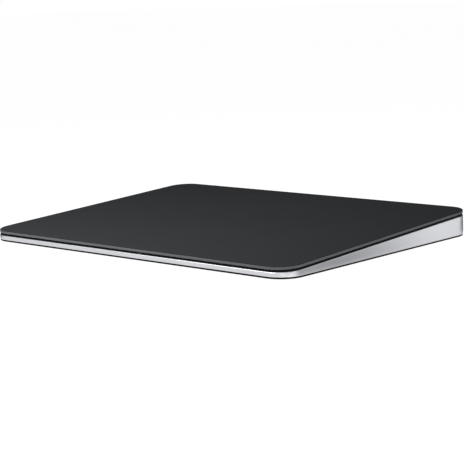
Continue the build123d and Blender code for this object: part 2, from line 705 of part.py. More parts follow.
def force_beam(side, y):
    """Steel strip: thick root on its boss, narrow neck that bends, and a broad tip."""
    place = deck_y(y, ROOT_LEVEL)
    root = block(BEAM_ROOT_X, place, BEAM_ROOT_LENGTH, BEAM_WIDTH, ROOT_LEVEL, BEAM_TOP)
    tip_outer = BEAM_TIP_X + BEAM_TIP_LENGTH / 2
    tip = block(BEAM_TIP_X, place, BEAM_TIP_LENGTH, BEAM_WIDTH, BEAM_LEVEL, BEAM_TOP)
    tip = chamfer(tip.edges().filter_by(Axis.Z).group_by(Axis.X)[-1], BEAM_THICKNESS)
    neck = box_between(
        (BEAM_ROOT_X, place - BEAM_NECK_WIDTH / 2, BEAM_LEVEL),
        (tip_outer - BEAM_TIP_LENGTH / 2, place + BEAM_NECK_WIDTH / 2, BEAM_TOP),
    )
    beam = root + neck + tip
    for shift in (-BEAM_SCREW_SPACING / 2, BEAM_SCREW_SPACING / 2):
        beam -= peg(
            BEAM_ROOT_X + shift, place, SCREW_DIAMETER / 2, ROOT_LEVEL - OVERRUN, BEAM_TOP + OVERRUN
        )
    return DECK * (beam if side > 0 else mirror(beam, about=Plane.YZ))


def beam_screws():
    """Two screws from below through each boss into the root of its beam."""
    length = BEAM_GRIP + BEAM_ROOT_THICKNESS
    return [DECK * screw(x, y, SEAT_LEVEL, length, points_up=True) for x, y in beam_screw_places()]


def strain_gauges():
    """One thin gauge on the neck of each beam."""
    neck_inner = BEAM_ROOT_X + BEAM_ROOT_LENGTH / 2
    x = (neck_inner + BEAM_TIP_X - BEAM_TIP_LENGTH / 2) / 2
    return [
        DECK * block(
            side * x, deck_y(y, ROOT_LEVEL), GAUGE_LENGTH, GAUGE_WIDTH, BEAM_TOP, BEAM_TOP + GAUGE_THICKNESS
        )
        for side, y in BEAM_CORNERS.values()
    ]


def tip_plates():
    """Thin plate on the tip of each beam, under the gel."""
    length = GEL_LENGTH + 2 * TIP_PLATE_MARGIN
    width = GEL_WIDTH + 2 * TIP_PLATE_MARGIN
    return [
        DECK * block(side * BEAM_TIP_X, deck_y(y, ROOT_LEVEL), length, width, BEAM_TOP, GEL_LEVEL)
        for side, y in BEAM_CORNERS.values()
    ]


def gel_pads():
    """Soft pad between each tip plate and the stiffener."""
    return [
        DECK * block(
            side * BEAM_TIP_X, deck_y(y, ROOT_LEVEL), GEL_LENGTH, GEL_WIDTH, GEL_LEVEL, STIFFENER_LEVEL
        )
        for side, y in BEAM_CORNERS.values()
    ]


# Haptic engine

def haptic_tray():
    """Steel tray on four posts, with raised pads under the cores and a window in the middle."""
    tray = block(0, TRAY_Y, TRAY_LENGTH, TRAY_DEPTH, TRAY_BOTTOM, TRAY_TOP)
    for x, y in tray_screw_places():
        tab = peg(x, y, TRAY_TAB_RADIUS, TRAY_BOTTOM, TRAY_TOP)
        side = math.copysign(1, x)
        web = box_between(
            (side * (TRAY_LENGTH / 2 - TRAY_EDGE), y - TRAY_TAB_RADIUS, TRAY_BOTTOM),
            (x, y + TRAY_TAB_RADIUS, TRAY_TOP),
        )
        tray += tab + web
    for side in (-1, 1):
        x = side * (CORE_OUTER_X + LEG_ROOT_X) / 2
        tray += block(x, TRAY_Y, CORE_SPINE, CORE_LEG_SPACING, TRAY_BOTTOM, CORE_BOTTOM)
    window = 2 * (ARMATURE_HALF - ARMATURE_WINDOW_GAP)
    tray -= block(
        0, TRAY_Y, window, ARMATURE_DEPTH - ARMATURE_WINDOW_GAP, TRAY_BOTTOM - OVERRUN, TRAY_TOP + OVERRUN
    )
    for x, y in tray_screw_places():
        tray -= peg(x, y, HOLE_RADIUS, TRAY_BOTTOM - OVERRUN, TRAY_TOP + OVERRUN)
    return tray


def haptic_core(side):
    """U-shaped iron core: a spine and two legs that point at the armature."""
    width = CORE_LEG_SPACING + CORE_LEG_WIDTH
    spine_x = side * (CORE_OUTER_X + LEG_ROOT_X) / 2
    core = block(spine_x, TRAY_Y, CORE_SPINE, width, CORE_BOTTOM, CORE_TOP)
    for shift in (-CORE_LEG_SPACING / 2, CORE_LEG_SPACING / 2):
        core += box_between(
            (side * POLE_X, TRAY_Y + shift - CORE_LEG_WIDTH / 2, CORE_BOTTOM),
            (side * LEG_ROOT_X, TRAY_Y + shift + CORE_LEG_WIDTH / 2, CORE_TOP),
        )
    return core


def haptic_coils():
    """Four copper coils, one round each leg of the cores."""
    coils = []
    bore = CORE_LEG_WIDTH + 2 * COIL_CLEARANCE
    for side in (-1, 1):
        for shift in (-CORE_LEG_SPACING / 2, CORE_LEG_SPACING / 2):
            place = (side * COIL_X, TRAY_Y + shift)
            coil_top = CORE_TOP + COIL_CLEARANCE + COIL_WALL
            coil = block(*place, COIL_LENGTH, bore + 2 * COIL_SIDE, TRAY_TOP, coil_top)
            coil -= block(
                *place, COIL_LENGTH + OVERRUN, bore, CORE_BOTTOM - COIL_CLEARANCE, CORE_TOP + COIL_CLEARANCE
            )
            coils.append(fillet(coil.edges().filter_by(Axis.X).group_by(Axis.Z)[-1], COIL_WALL))
    return coils


def haptic_screws():
    """Screws through the tray's tabs into their posts."""
    length = TRAY_THICKNESS + screw_reach(TRAY_BOTTOM)
    return [screw(x, y, TRAY_TOP, length) for x, y in tray_screw_places()]


def screw_reach(post_top):
    """How far a screw goes into a post, which is not through the floor."""
    return post_top - max(HOLE_FLOOR, post_top - SCREW_BITE)


def haptic_ribbon():
    """Ribbon from the coils over the tray's edge, along the floor and up to the main board."""
    half = RIBBON_WIDTH / 2
    edge = TRAY_LENGTH / 2
    start = CORE_OUTER_X + COIL_CLEARANCE
    turn = TRAY_TAB_X + TRAY_TAB_RADIUS + RIBBON_GAP + half
    end = BATTERY_FRONT + BOARD_LAP
    top = TRAY_TOP + RIBBON_THICKNESS
    ribbon = box_between((start, TRAY_Y - half, TRAY_TOP), (edge + RIBBON_THICKNESS, TRAY_Y + half, top))
    ribbon += box_between((edge, TRAY_Y - half, FLOOR_TOP), (edge + RIBBON_THICKNESS, TRAY_Y + half, top))
    ribbon += floor_run((edge, TRAY_Y - half), (turn + half, TRAY_Y + half))
    ribbon += floor_run((turn - half, TRAY_Y - half), (turn + half, end))
    return ribbon + rising_end(turn, end, FLOOR_TOP, BOARD_BOTTOM)


def rising_end(x, y, bottom, top):
    """End of a ribbon that stands up against the underside of a board, its face in x and z."""
    return box_between(
        (x - RIBBON_WIDTH / 2, y - RIBBON_THICKNESS, bottom), (x + RIBBON_WIDTH / 2, y, top)
    )


# Battery

def battery_cell():
    """Flat pouch cell with two metal tabs."""
    cell = rounded_plate(
        BATTERY_WIDTH, BATTERY_DEPTH, BATTERY_CORNER, BATTERY_BOTTOM, BATTERY_TOP, BATTERY_X, BATTERY_Y
    )
    cell = fillet(upper_edges(cell), BATTERY_ROUND)
    for side in (-1, 1):
        y = BATTERY_Y + side * TAB_SPACING / 2
        cell += box_between(
            (BATTERY_RIGHT - BATTERY_ROUND, y - TAB_WIDTH / 2, BOARD_TOP),
            (GUARD_LEFT + TAB_LENGTH, y + TAB_WIDTH / 2, BOARD_TOP + TAB_THICKNESS),
        )
    return cell


def battery_strips():
    """Two strips of adhesive under the cell."""
    return [
        block(
            BATTERY_X, BATTERY_FRONT + share * BATTERY_DEPTH, BATTERY_WIDTH - 2 * STRIP_INSET, STRIP_WIDTH,
            FLOOR_TOP, BATTERY_BOTTOM,
        )
        for share in STRIP_ROW_SHARES
    ]


def battery_guard_board():
    """Small protection board beside the cell, on two rests."""
    return box_between(
        (GUARD_LEFT, BATTERY_Y - GUARD_LENGTH / 2, BOARD_BOTTOM),
        (GUARD_RIGHT, BATTERY_Y + GUARD_LENGTH / 2, BOARD_TOP),
    )


def battery_tape():
    """Film over the tabs, turned up against the end of the cell."""
    bottom = BOARD_TOP + TAB_THICKNESS
    low, high = BATTERY_Y - TAPE_LENGTH / 2, BATTERY_Y + TAPE_LENGTH / 2
    flat = box_between((BATTERY_RIGHT, low, bottom), (GUARD_RIGHT, high, bottom + TAPE_THICKNESS))
    inner = BATTERY_RIGHT + TAPE_THICKNESS
    rise = box_between((BATTERY_RIGHT, low, bottom), (inner, high, bottom + TAPE_RISE))
    return flat + rise


def battery_ribbon_y():
    """The battery's ribbon crosses near the back end of the guard board."""
    return BATTERY_Y + GUARD_LENGTH / 2 - 2 * RIBBON_WIDTH


def battery_ribbon():
    """Straight ribbon from the guard board to the main board."""
    y = battery_ribbon_y()
    end = BOARD_LEFT + BATTERY_CONNECTOR_INSET
    return box_between(
        (GUARD_LEFT, y - RIBBON_WIDTH / 2, BOARD_TOP),
        (end, y + RIBBON_WIDTH / 2, BOARD_TOP + RIBBON_THICKNESS),
    )


# Main board

def main_board():
    """Board beside the battery, on four standoffs."""
    board = rounded_plate(
        BOARD_WIDTH, BATTERY_DEPTH, BOARD_CORNER, BOARD_BOTTOM, BOARD_TOP, BOARD_X, BATTERY_Y
    )
    for x, y in board_screw_places():
        board -= peg(x, y, HOLE_RADIUS, BOARD_BOTTOM - OVERRUN, BOARD_TOP + OVERRUN)
    return board


def board_screws():
    length = BOARD_THICKNESS + screw_reach(BOARD_BOTTOM)
    return [screw(x, y, BOARD_TOP, length) for x, y in board_screw_places()]


def shield_can():
    """Thin metal lid over the radio, open below, with rows of small holes."""
    x, y = on_board(SHIELD_SHARE)
    top = BOARD_TOP + SHIELD_HEIGHT
    can = rounded_plate(SHIELD_WIDTH, SHIELD_DEPTH, SHIELD_CORNER, BOARD_TOP, top, x, y)
    can -= block(
        x, y, SHIELD_WIDTH - 2 * SHIELD_WALL, SHIELD_DEPTH - 2 * SHIELD_WALL,
        BOARD_TOP - OVERRUN, top - SHIELD_WALL,
    )
    for column in (-1, 0, 1):
        for row in (-1, 0, 1):
            place = (x + column * SHIELD_VENT_PITCH, y + row * SHIELD_VENT_PITCH)
            can -= peg(*place, SHIELD_VENT_RADIUS, BOARD_TOP, top + OVERRUN)
    return can


def chip(x, y, width, depth, height):
    """Square-cut package with a fine chamfer round its top."""
    body = block(x, y, width, depth, BOARD_TOP, BOARD_TOP + height)
    return chamfer(upper_edges(body), PACKAGE_CHAMFER)


def processor():
    return chip(*on_board(PROCESSOR_SHARE), PROCESSOR_SIZE, PROCESSOR_SIZE, PROCESSOR_HEIGHT)


def board_chips():
    """Memory, power, coil driver and gauge amplifier."""
    chips = (
        (MEMORY_CHIP_SHARE, MEMORY_CHIP_SIZE),
        (POWER_CHIP_SHARE, POWER_CHIP_SIZE),
        (DRIVER_CHIP_SHARE, DRIVER_CHIP_SIZE),
        (AMPLIFIER_CHIP_SHARE, AMPLIFIER_CHIP_SIZE),
    )
    return [chip(*on_board(share), *size) for share, size in chips]


def board_capacitors():
    """Two rows of small capacitors."""
    top = BOARD_TOP + CAPACITOR_HEIGHT
    return [
        block(*on_board((across, along)), CAPACITOR_LENGTH, CAPACITOR_WIDTH, BOARD_TOP, top)
        for along, row in CAPACITOR_ROW_SHARES
        for across in row
    ]


def board_connectors():
    """Sockets for the touch ribbon and the battery ribbon."""
    touch_x, touch_y = on_board(TOUCH_CONNECTOR_SHARE)
    top = BOARD_TOP + CONNECTOR_HEIGHT
    left = BOARD_LEFT + BATTERY_CONNECTOR_INSET
    y = battery_ribbon_y()
    return [
        block(touch_x, touch_y, TOUCH_CONNECTOR_WIDTH, CONNECTOR_DEPTH, BOARD_TOP, top),
        box_between(
            (left, y - BATTERY_CONNECTOR_LENGTH / 2, BOARD_TOP),
            (left + BATTERY_CONNECTOR_WIDTH, y + BATTERY_CONNECTOR_LENGTH / 2, top),
        ),
    ]


def touch_ribbon():
    """Ribbon folded in a hairpin between the main board and the sensor board."""
    x, y = on_board(TOUCH_CONNECTOR_SHARE)
    front = y - CONNECTOR_DEPTH / 2
    bottom = BOARD_TOP + CONNECTOR_HEIGHT
    top = deck_height(front, SENSOR_LEVEL - SENSOR_CONNECTOR_HEIGHT)
    left, right = x - TOUCH_RIBBON_WIDTH / 2, x + TOUCH_RIBBON_WIDTH / 2
    bend_y = front - TOUCH_RIBBON_REACH
    back = y + CONNECTOR_DEPTH / 2
    outer = (top - bottom) / 2
    inner = outer - RIBBON_THICKNESS
    bend = Cylinder(outer, TOUCH_RIBBON_WIDTH) - Cylinder(inner, TOUCH_RIBBON_WIDTH + OVERRUN)
    bend = Pos(x, bend_y, (top + bottom) / 2) * Rot(0, 90, 0) * bend
    bend -= box_between((left - OVERRUN, bend_y, bottom - OVERRUN), (right + OVERRUN, back, top + OVERRUN))
    lower = box_between((left, bend_y, bottom), (right, back, bottom + RIBBON_THICKNESS))
    upper = box_between((left, bend_y, top - RIBBON_THICKNESS), (right, back, top))
    return bend + lower + upper


def floor_run(first, second):
    """Straight length of ribbon on the floor, between two opposite corners in plan."""
    return box_between((*first, FLOOR_TOP), (*second, FLOOR_TOP + RIBBON_THICKNESS))


def gauge_harness():
    """Ribbon on the floor that joins the beams to the main board, in two lengths."""
    half = RIBBON_WIDTH / 2
    outer_x = BEAM_ROOT_X + BEAM_ROOT_LENGTH / 2
    board_end = BATTERY_FRONT + BOARD_LAP
    main = floor_run((HARNESS_X - half, CROSS_RUN_Y - half), (HARNESS_X + half, BEAM_BACK_Y + half))
    main += floor_run((HARNESS_X - half, BEAM_BACK_Y - half), (-outer_x, BEAM_BACK_Y + half))
    main += floor_run((HARNESS_X - half, CROSS_RUN_Y - half), (FRONT_RUN_X + half, CROSS_RUN_Y + half))
    main += floor_run((FRONT_RUN_X - half, CROSS_RUN_Y - half), (FRONT_RUN_X + half, board_end))
    main += rising_end(FRONT_RUN_X, board_end, FLOOR_TOP, BOARD_BOTTOM)
    main += gauge_end(-outer_x - RIBBON_THICKNESS, BEAM_BACK_Y - half, -outer_x, BEAM_BACK_Y + half)
    for side in (-1, 1):
        x = side * BEAM_ROOT_X
        main += floor_run((x - half, FRONT_ROW_BACK), (x + half, CROSS_RUN_Y))
        main += gauge_end(x - half, FRONT_ROW_BACK, x + half, FRONT_ROW_BACK + RIBBON_THICKNESS)
    rear_x = outer_x + half
    rear_front = BATTERY_BACK - RIBBON_THICKNESS
    rear = floor_run((outer_x, rear_front), (outer_x + RIBBON_WIDTH, BEAM_BACK_Y + half))
    rear += rising_end(rear_x, rear_front, FLOOR_TOP, BOARD_BOTTOM)
    rear += gauge_end(outer_x, BEAM_BACK_Y - half, outer_x + RIBBON_THICKNESS, BEAM_BACK_Y + half)
    return [main, rear]


def gauge_end(x_low, y_low, x_high, y_high):
    """End of the harness that climbs the side of a boss to the root of its beam."""
    strip = box_between((x_low, y_low, FLOOR_TOP), (x_high, y_high, RIM_BACK))
    return cut_above_deck(strip, ROOT_LEVEL)


# Antenna

def antenna():
    """Plastic carrier on the floor with a printed metal loop, two solids."""
    top = FLOOR_TOP + ANTENNA_THICKNESS
    y = (ANTENNA_FRONT + ANTENNA_BACK) / 2
    carrier = block(ANTENNA_X, y, ANTENNA_WIDTH, ANTENNA_LENGTH, FLOOR_TOP, top)
    width, length = ANTENNA_WIDTH - 2 * TRACE_WIDTH, ANTENNA_LENGTH - 2 * TRACE_WIDTH
    loop = block(ANTENNA_X, y, width, length, top, top + TRACE_THICKNESS)
    loop -= block(
        ANTENNA_X, y, width - 2 * TRACE_WIDTH, length - 2 * TRACE_WIDTH, top - OVERRUN, top + OVERRUN
    )
    return [carrier, loop]


def antenna_lead():
    """Thin round lead from the antenna to a plug on the main board."""
    x = min(ANTENNA_X, BOARD_RIGHT - PLUG_DIAMETER / 2)
    low = FLOOR_TOP + LEAD_GAP + LEAD_DIAMETER / 2
    high = BOARD_TOP + LEAD_GAP + LEAD_DIAMETER / 2
    end = BATTERY_FRONT + BOARD_SCREW_INSET + LEAD_LAP
    rise_end = BATTERY_FRONT - RIBBON_GAP
    route = ((ANTENNA_BACK, low), (rise_end - LEAD_RISE_RUN, low), (rise_end, high), (end, high))
    points = [(x, y, z) for y, z in route]
    path = FilletPolyline(*points, radius=LEAD_BEND)
    section = Plane(origin=points[0], x_dir=(1, 0, 0), z_dir=(0, 1, 0)) * Circle(LEAD_DIAMETER / 2)
    cable = sweep(section, path=path)
    plug = peg(x, end, PLUG_DIAMETER / 2, BOARD_TOP, high + LEAD_DIAMETER / 2 + LEAD_GAP)
    print("antenna lead volume over section times length", round(lead_ratio(cable, path), 4))
    return cable + plug


def lead_ratio(cable, path):
    """Volume of a swept lead against its section times its length."""
    return cable.volume / (math.pi * LEAD_DIAMETER ** 2 / 4 * path.length)


# Charging socket

def oval_bar(width, height, front, back):
    """Bar of oval section along Y at the height of the two rear openings."""
    face = Pos(0, back, BACK_WALL_MIDDLE) * Rot(90, 0, 0) * SlotOverall(width, height)
    return extrude(face, amount=back - front)


def port_sleeve():
    """Drawn metal tube of the charging socket, open at both ends."""
    outer = oval_bar(SLEEVE_WIDTH, SLEEVE_HEIGHT, SLEEVE_FRONT, SLEEVE_BACK)
    return outer - oval_bar(
        PORT_MOUTH_WIDTH, PORT_MOUTH_HEIGHT, SLEEVE_FRONT - OVERRUN, SLEEVE_BACK + OVERRUN
    )


def port_tongue():
    """Moulded plug in the sleeve's inner end, with the tongue that carries the contacts."""
    root_back = SLEEVE_BACK - PORT_RECESS - TONGUE_LENGTH
    root = oval_bar(
        PORT_MOUTH_WIDTH - 2 * TONGUE_CLEARANCE, PORT_MOUTH_HEIGHT - 2 * TONGUE_CLEARANCE,
        SLEEVE_FRONT, root_back,
    )
    half = TONGUE_THICKNESS / 2
    tongue = box_between(
        (-TONGUE_WIDTH / 2, root_back, BACK_WALL_MIDDLE - half),
        (TONGUE_WIDTH / 2, SLEEVE_BACK - PORT_RECESS, BACK_WALL_MIDDLE + half),
    )
    return root + tongue


def port_contacts():
    """Rows of flat contacts above and below the tongue."""
    contacts = []
    back = SLEEVE_BACK - 2 * PORT_RECESS
    for face in (-1, 1):
        near = BACK_WALL_MIDDLE + face * TONGUE_THICKNESS / 2
        for index in range(CONTACT_COUNT):
            x = (index - (CONTACT_COUNT - 1) / 2) * CONTACT_PITCH
            contacts.append(
                box_between(
                    (x - CONTACT_WIDTH / 2, back - CONTACT_LENGTH, near),
                    (x + CONTACT_WIDTH / 2, back, near + face * CONTACT_THICKNESS),
                )
            )
    return contacts


def port_board():
    """Small board under the socket, on two standoffs."""
    board = box_between(
        (-PORT_BOARD_WIDTH / 2, PORT_BOARD_FRONT, PORT_BOARD_BOTTOM),
        (PORT_BOARD_WIDTH / 2, PORT_BOARD_BACK, PORT_BOARD_TOP),
    )
    for x, y in port_screw_places():
        board -= peg(x, y, HOLE_RADIUS, PORT_BOARD_BOTTOM - OVERRUN, PORT_BOARD_TOP + OVERRUN)
    return board


def port_bracket():
    """Bent steel saddle over the sleeve, screwed down at its two ears."""
    low, high = PORT_SCREW_Y - BRACKET_DEPTH / 2, PORT_SCREW_Y + BRACKET_DEPTH / 2
    inner = SLEEVE_WIDTH / 2 + BRACKET_CLEARANCE
    outer = inner + BRACKET_THICKNESS
    under = PORT_BOARD_TOP + SLEEVE_HEIGHT + BRACKET_CLEARANCE
    over = under + BRACKET_THICKNESS
    bracket = box_between((-outer, low, under), (outer, high, over))
    for side in (-1, 1):
        bracket += box_between((side * inner, low, PORT_BOARD_TOP), (side * outer, high, over))
        bracket += box_between(
            (side * inner, low, PORT_BOARD_TOP),
            (side * PORT_EAR_X, high, PORT_BOARD_TOP + BRACKET_THICKNESS),
        )
    for x, y in port_screw_places():
        bracket -= peg(x, y, HOLE_RADIUS, PORT_BOARD_BOTTOM, PORT_BOARD_TOP + OVERRUN)
    return bracket


def port_screws():
    length = BRACKET_THICKNESS + BOARD_THICKNESS + screw_reach(PORT_BOARD_BOTTOM)
    return [screw(x, y, PORT_BOARD_TOP + BRACKET_THICKNESS, length) for x, y in port_screw_places()]


def port_ribbon():
    """Ribbon from the socket's board, under the battery and up to the main board."""
    half = RIBBON_WIDTH / 2
    y = PORT_BOARD_FRONT + RIBBON_GAP / 2 + half
    under_x = BATTERY_RIGHT - STRIP_INSET + RIBBON_GAP + half
    start = PORT_BOARD_WIDTH / 2 - STRIP_INSET
    end = BOARD_LEFT + BOARD_LAP
    ribbon = floor_run((start, y - half), (under_x + half, y + half))
    ribbon += floor_run((under_x - half, BATTERY_Y - half), (under_x + half, y + half))
    ribbon += floor_run((under_x - half, BATTERY_Y - half), (end, BATTERY_Y + half))
    ribbon += box_between(
        (start, y - half, FLOOR_TOP), (start + RIBBON_THICKNESS, y + half, PORT_BOARD_BOTTOM)
    )
    ribbon += box_between(
        (end - RIBBON_THICKNESS, BATTERY_Y - half, FLOOR_TOP), (end, BATTERY_Y + half, BOARD_BOTTOM)
    )
    return ribbon


# Power switch

def slot_place(x, width, height, radius, front, back):
    """Plate at the height of the power switch."""
    return wall_plate(width, height, radius, front, back, x, BACK_WALL_MIDDLE)


def switch_knob():
    """Finger piece in the slot of the back wall, with three fine grooves."""
    back = DEPTH / 2 - KNOB_RECESS
    knob = slot_place(KNOB_X, KNOB_WIDTH, KNOB_HEIGHT, KNOB_CORNER, CARRIAGE_BACK, back)
    for index in range(GROOVE_COUNT):
        x = KNOB_X + (index - (GROOVE_COUNT - 1) / 2) * GROOVE_PITCH
        knob -= box_between(
            (x - GROOVE_WIDTH / 2, back - GROOVE_DEPTH, BACK_WALL_MIDDLE - KNOB_HEIGHT / 2 + GROOVE_WIDTH),
            (x + GROOVE_WIDTH / 2, back + OVERRUN, BACK_WALL_MIDDLE + KNOB_HEIGHT / 2 - GROOVE_WIDTH),
        )
    return knob


def switch_carriage():
    """Plate behind the slot that carries the knob, with a pin into the switch block."""
    left = SWITCH_X - SLOT_WIDTH / 2 - SWITCH_TRAVEL - CARRIAGE_LAP
    right = SWITCH_X + SLOT_WIDTH / 2 + CARRIAGE_LAP
    low = BACK_WALL_MIDDLE - CARRIAGE_HEIGHT / 2
    plate = box_between((left, CARRIAGE_FRONT, low), (right, CARRIAGE_BACK, low + CARRIAGE_HEIGHT))
    pin = box_between(
        (KNOB_X - PIN_SIZE / 2, CARRIAGE_FRONT - PIN_LENGTH, BACK_WALL_MIDDLE - PIN_SIZE / 2),
        (KNOB_X + PIN_SIZE / 2, CARRIAGE_FRONT, BACK_WALL_MIDDLE + PIN_SIZE / 2),
    )
    return plate + pin


def switch_indicator():
    """Green strip beside the knob, which shows in the slot when the switch is on."""
    right = KNOB_X - KNOB_WIDTH / 2
    low = BACK_WALL_MIDDLE - KNOB_HEIGHT / 2
    return box_between(
        (right - SWITCH_TRAVEL, CARRIAGE_BACK, low),
        (right, CARRIAGE_BACK + MARK_THICKNESS, low + KNOB_HEIGHT),
    )


def switch_block():
    """Body of the switch, with the groove that its pin slides in."""
    body = box_between(
        (SWITCH_X - SWITCH_BLOCK_WIDTH / 2, SWITCH_BLOCK_FRONT, SWITCH_BOARD_TOP),
        (SWITCH_X + SWITCH_BLOCK_WIDTH / 2, SWITCH_BLOCK_BACK, SWITCH_BOARD_TOP + SWITCH_BLOCK_HEIGHT),
    )
    length = PIN_SIZE + SWITCH_TRAVEL + 2 * PIN_CLEARANCE
    height = PIN_SIZE + 2 * PIN_CLEARANCE
    bottom = CARRIAGE_FRONT - PIN_LENGTH - PIN_CLEARANCE
    return body - box_between(
        (SWITCH_X - length / 2, bottom, BACK_WALL_MIDDLE - height / 2),
        (SWITCH_X + length / 2, SWITCH_BLOCK_BACK + OVERRUN, BACK_WALL_MIDDLE + height / 2),
    )


def switch_board():
    """Small board under the switch block, on two standoffs."""
    board = box_between(
        (SWITCH_X - SWITCH_BOARD_WIDTH / 2, SWITCH_BOARD_FRONT, SWITCH_BOARD_BOTTOM),
        (SWITCH_X + SWITCH_BOARD_WIDTH / 2, SWITCH_BLOCK_BACK, SWITCH_BOARD_TOP),
    )
    for x, y in switch_screw_places():
        board -= peg(x, y, HOLE_RADIUS, SWITCH_BOARD_BOTTOM - OVERRUN, SWITCH_BOARD_TOP + OVERRUN)
    return board


def switch_screws():
    length = BOARD_THICKNESS + screw_reach(SWITCH_BOARD_BOTTOM)
    return [screw(x, y, SWITCH_BOARD_TOP, length) for x, y in switch_screw_places()]


def switch_ribbon():
    """Short ribbon between the boards of the socket and the switch, with one step."""
    y = SWITCH_BOARD_FRONT + RIBBON_WIDTH / 2
    low, high = y - RIBBON_WIDTH / 2, y + RIBBON_WIDTH / 2
    port_edge = PORT_BOARD_WIDTH / 2
    board_edge = SWITCH_X - SWITCH_BOARD_WIDTH / 2
    start = (PORT_EAR_X + port_edge) / 2
    end = board_edge + (SWITCH_SCREW_INSET - SCREW_HEAD_DIAMETER / 2) / 2
    step = (port_edge + board_edge) / 2
    steps = sorted((PORT_BOARD_TOP, SWITCH_BOARD_TOP))
    ribbon = box_between(
        (start, low, PORT_BOARD_TOP), (step, high, PORT_BOARD_TOP + RIBBON_THICKNESS)
    )
    ribbon += box_between(
        (step, low, steps[0]), (step + RIBBON_THICKNESS, high, steps[1] + RIBBON_THICKNESS)
    )
    ribbon += box_between(
        (step, low, SWITCH_BOARD_TOP), (end, high, SWITCH_BOARD_TOP + RIBBON_THICKNESS)
    )
    return ribbon


# The whole assembly

def assembly():
    """Every node of the trackpad, by name."""
    nodes = {
        "housing": housing(),
        "bottom_cover": bottom_cover(),
        "foot_front_left": foot(-1, -1),
        "foot_front_right": foot(1, -1),
        "foot_rear_left": foot(-1, 1),
        "foot_rear_right": foot(1, 1),
        "rim_gasket": rim_gasket(),
        "touch_glass": touch_glass(),
        "glass_adhesive": DECK * inner_plate(FILM_LEVEL, RIM_GAP),
        "sensor_board": DECK * inner_plate(SENSOR_LEVEL, FILM_LEVEL),
        "stiffener_plate": stiffener_plate(),
        "touch_controller": touch_controller(),
        "sensor_passives": sensor_passives(),
        "sensor_connector": sensor_connector(),
        "haptic_armature": haptic_armature(),
        "armature_screws": armature_screws(),
        "tip_plates": tip_plates(),
        "gel_pads": gel_pads(),
        "strain_gauges": strain_gauges(),
        "beam_screws": beam_screws(),
        "haptic_tray": haptic_tray(),
        "haptic_core_left": haptic_core(-1),
        "haptic_core_right": haptic_core(1),
        "haptic_coils": haptic_coils(),
        "haptic_screws": haptic_screws(),
        "haptic_ribbon": haptic_ribbon(),
        "battery_cell": battery_cell(),
        "battery_strips": battery_strips(),
        "battery_guard_board": battery_guard_board(),
        "battery_tape": battery_tape(),
        "battery_ribbon": battery_ribbon(),
        "main_board": main_board(),
        "board_screws": board_screws(),
        "shield_can": shield_can(),
        "processor": processor(),
        "board_chips": board_chips(),
        "board_capacitors": board_capacitors(),
        "board_connectors": board_connectors(),
        "touch_ribbon": touch_ribbon(),
        "gauge_harness": gauge_harness(),
        "antenna": antenna(),
        "antenna_lead": antenna_lead(),
        "port_sleeve": port_sleeve(),
        "port_tongue": port_tongue(),
        "port_contacts": port_contacts(),
        "port_board": port_board(),
        "port_bracket": port_bracket(),
        "port_screws": port_screws(),
        "port_ribbon": port_ribbon(),
        "switch_knob": switch_knob(),
        "switch_carriage": switch_carriage(),
        "switch_indicator": switch_indicator(),
        "switch_block": switch_block(),
        "switch_board": switch_board(),
        "switch_screws": switch_screws(),
        "switch_ribbon": switch_ribbon(),
    }
    for corner, (side, y) in BEAM_CORNERS.items():
        nodes[f"force_beam_{corner}"] = force_beam(side, y)
    return nodes


def write_step(name, shapes):
    """Write one node, which may be a group of separate solids."""
    parts = shapes if isinstance(shapes, list) else [shapes]
    solids = [solid for part in parts for solid in part.solids()]
    whole = solids[0] if len(solids) == 1 else Compound(solids)
    whole.label = name
    export_step(whole, f"parts/{name}.step")


os.makedirs("parts", exist_ok=True)
for node_name, node_shapes in assembly().items():
    write_step(node_name, node_shapes)
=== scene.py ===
"""Finishes, modelled small parts, stage and camera for the trackpad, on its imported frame."""
import json
from math import atan2, cos, hypot, pi, radians, sin

import bmesh
import bpy
from bpy.props import FloatProperty, FloatVectorProperty, IntProperty, PointerProperty
from bpy.types import Operator, Panel, PropertyGroup
from mathutils import Matrix, Vector

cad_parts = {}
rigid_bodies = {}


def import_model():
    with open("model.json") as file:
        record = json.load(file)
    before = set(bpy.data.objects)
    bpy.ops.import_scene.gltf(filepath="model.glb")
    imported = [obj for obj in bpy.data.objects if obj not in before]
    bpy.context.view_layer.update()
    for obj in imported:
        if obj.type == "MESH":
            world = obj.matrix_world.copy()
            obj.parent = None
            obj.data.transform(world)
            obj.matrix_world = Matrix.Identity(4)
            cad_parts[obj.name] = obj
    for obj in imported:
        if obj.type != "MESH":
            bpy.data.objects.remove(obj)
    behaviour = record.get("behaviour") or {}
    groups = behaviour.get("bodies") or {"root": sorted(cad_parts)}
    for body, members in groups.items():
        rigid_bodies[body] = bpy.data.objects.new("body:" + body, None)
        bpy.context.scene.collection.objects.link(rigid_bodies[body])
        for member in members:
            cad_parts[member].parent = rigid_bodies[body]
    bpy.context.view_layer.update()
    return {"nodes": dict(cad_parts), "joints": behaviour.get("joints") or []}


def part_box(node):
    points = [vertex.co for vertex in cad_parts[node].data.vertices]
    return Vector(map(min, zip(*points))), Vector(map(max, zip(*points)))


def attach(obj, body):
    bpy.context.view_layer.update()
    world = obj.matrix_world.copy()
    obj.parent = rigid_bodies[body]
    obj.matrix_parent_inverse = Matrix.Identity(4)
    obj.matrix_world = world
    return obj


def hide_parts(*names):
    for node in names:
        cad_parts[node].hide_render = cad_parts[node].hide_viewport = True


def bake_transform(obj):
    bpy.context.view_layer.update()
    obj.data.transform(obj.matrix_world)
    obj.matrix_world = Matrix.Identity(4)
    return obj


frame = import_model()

bl_info = {
    "name": "Trackpad parts and finishes",
    "version": (1, 0, 0),
    "blender": (4, 5, 0),
    "location": "3D View > Sidebar > Trackpad",
    "description": "Dresses the packed trackpad, models its small parts and sets it on a pale stage",
    "category": "Object",
}

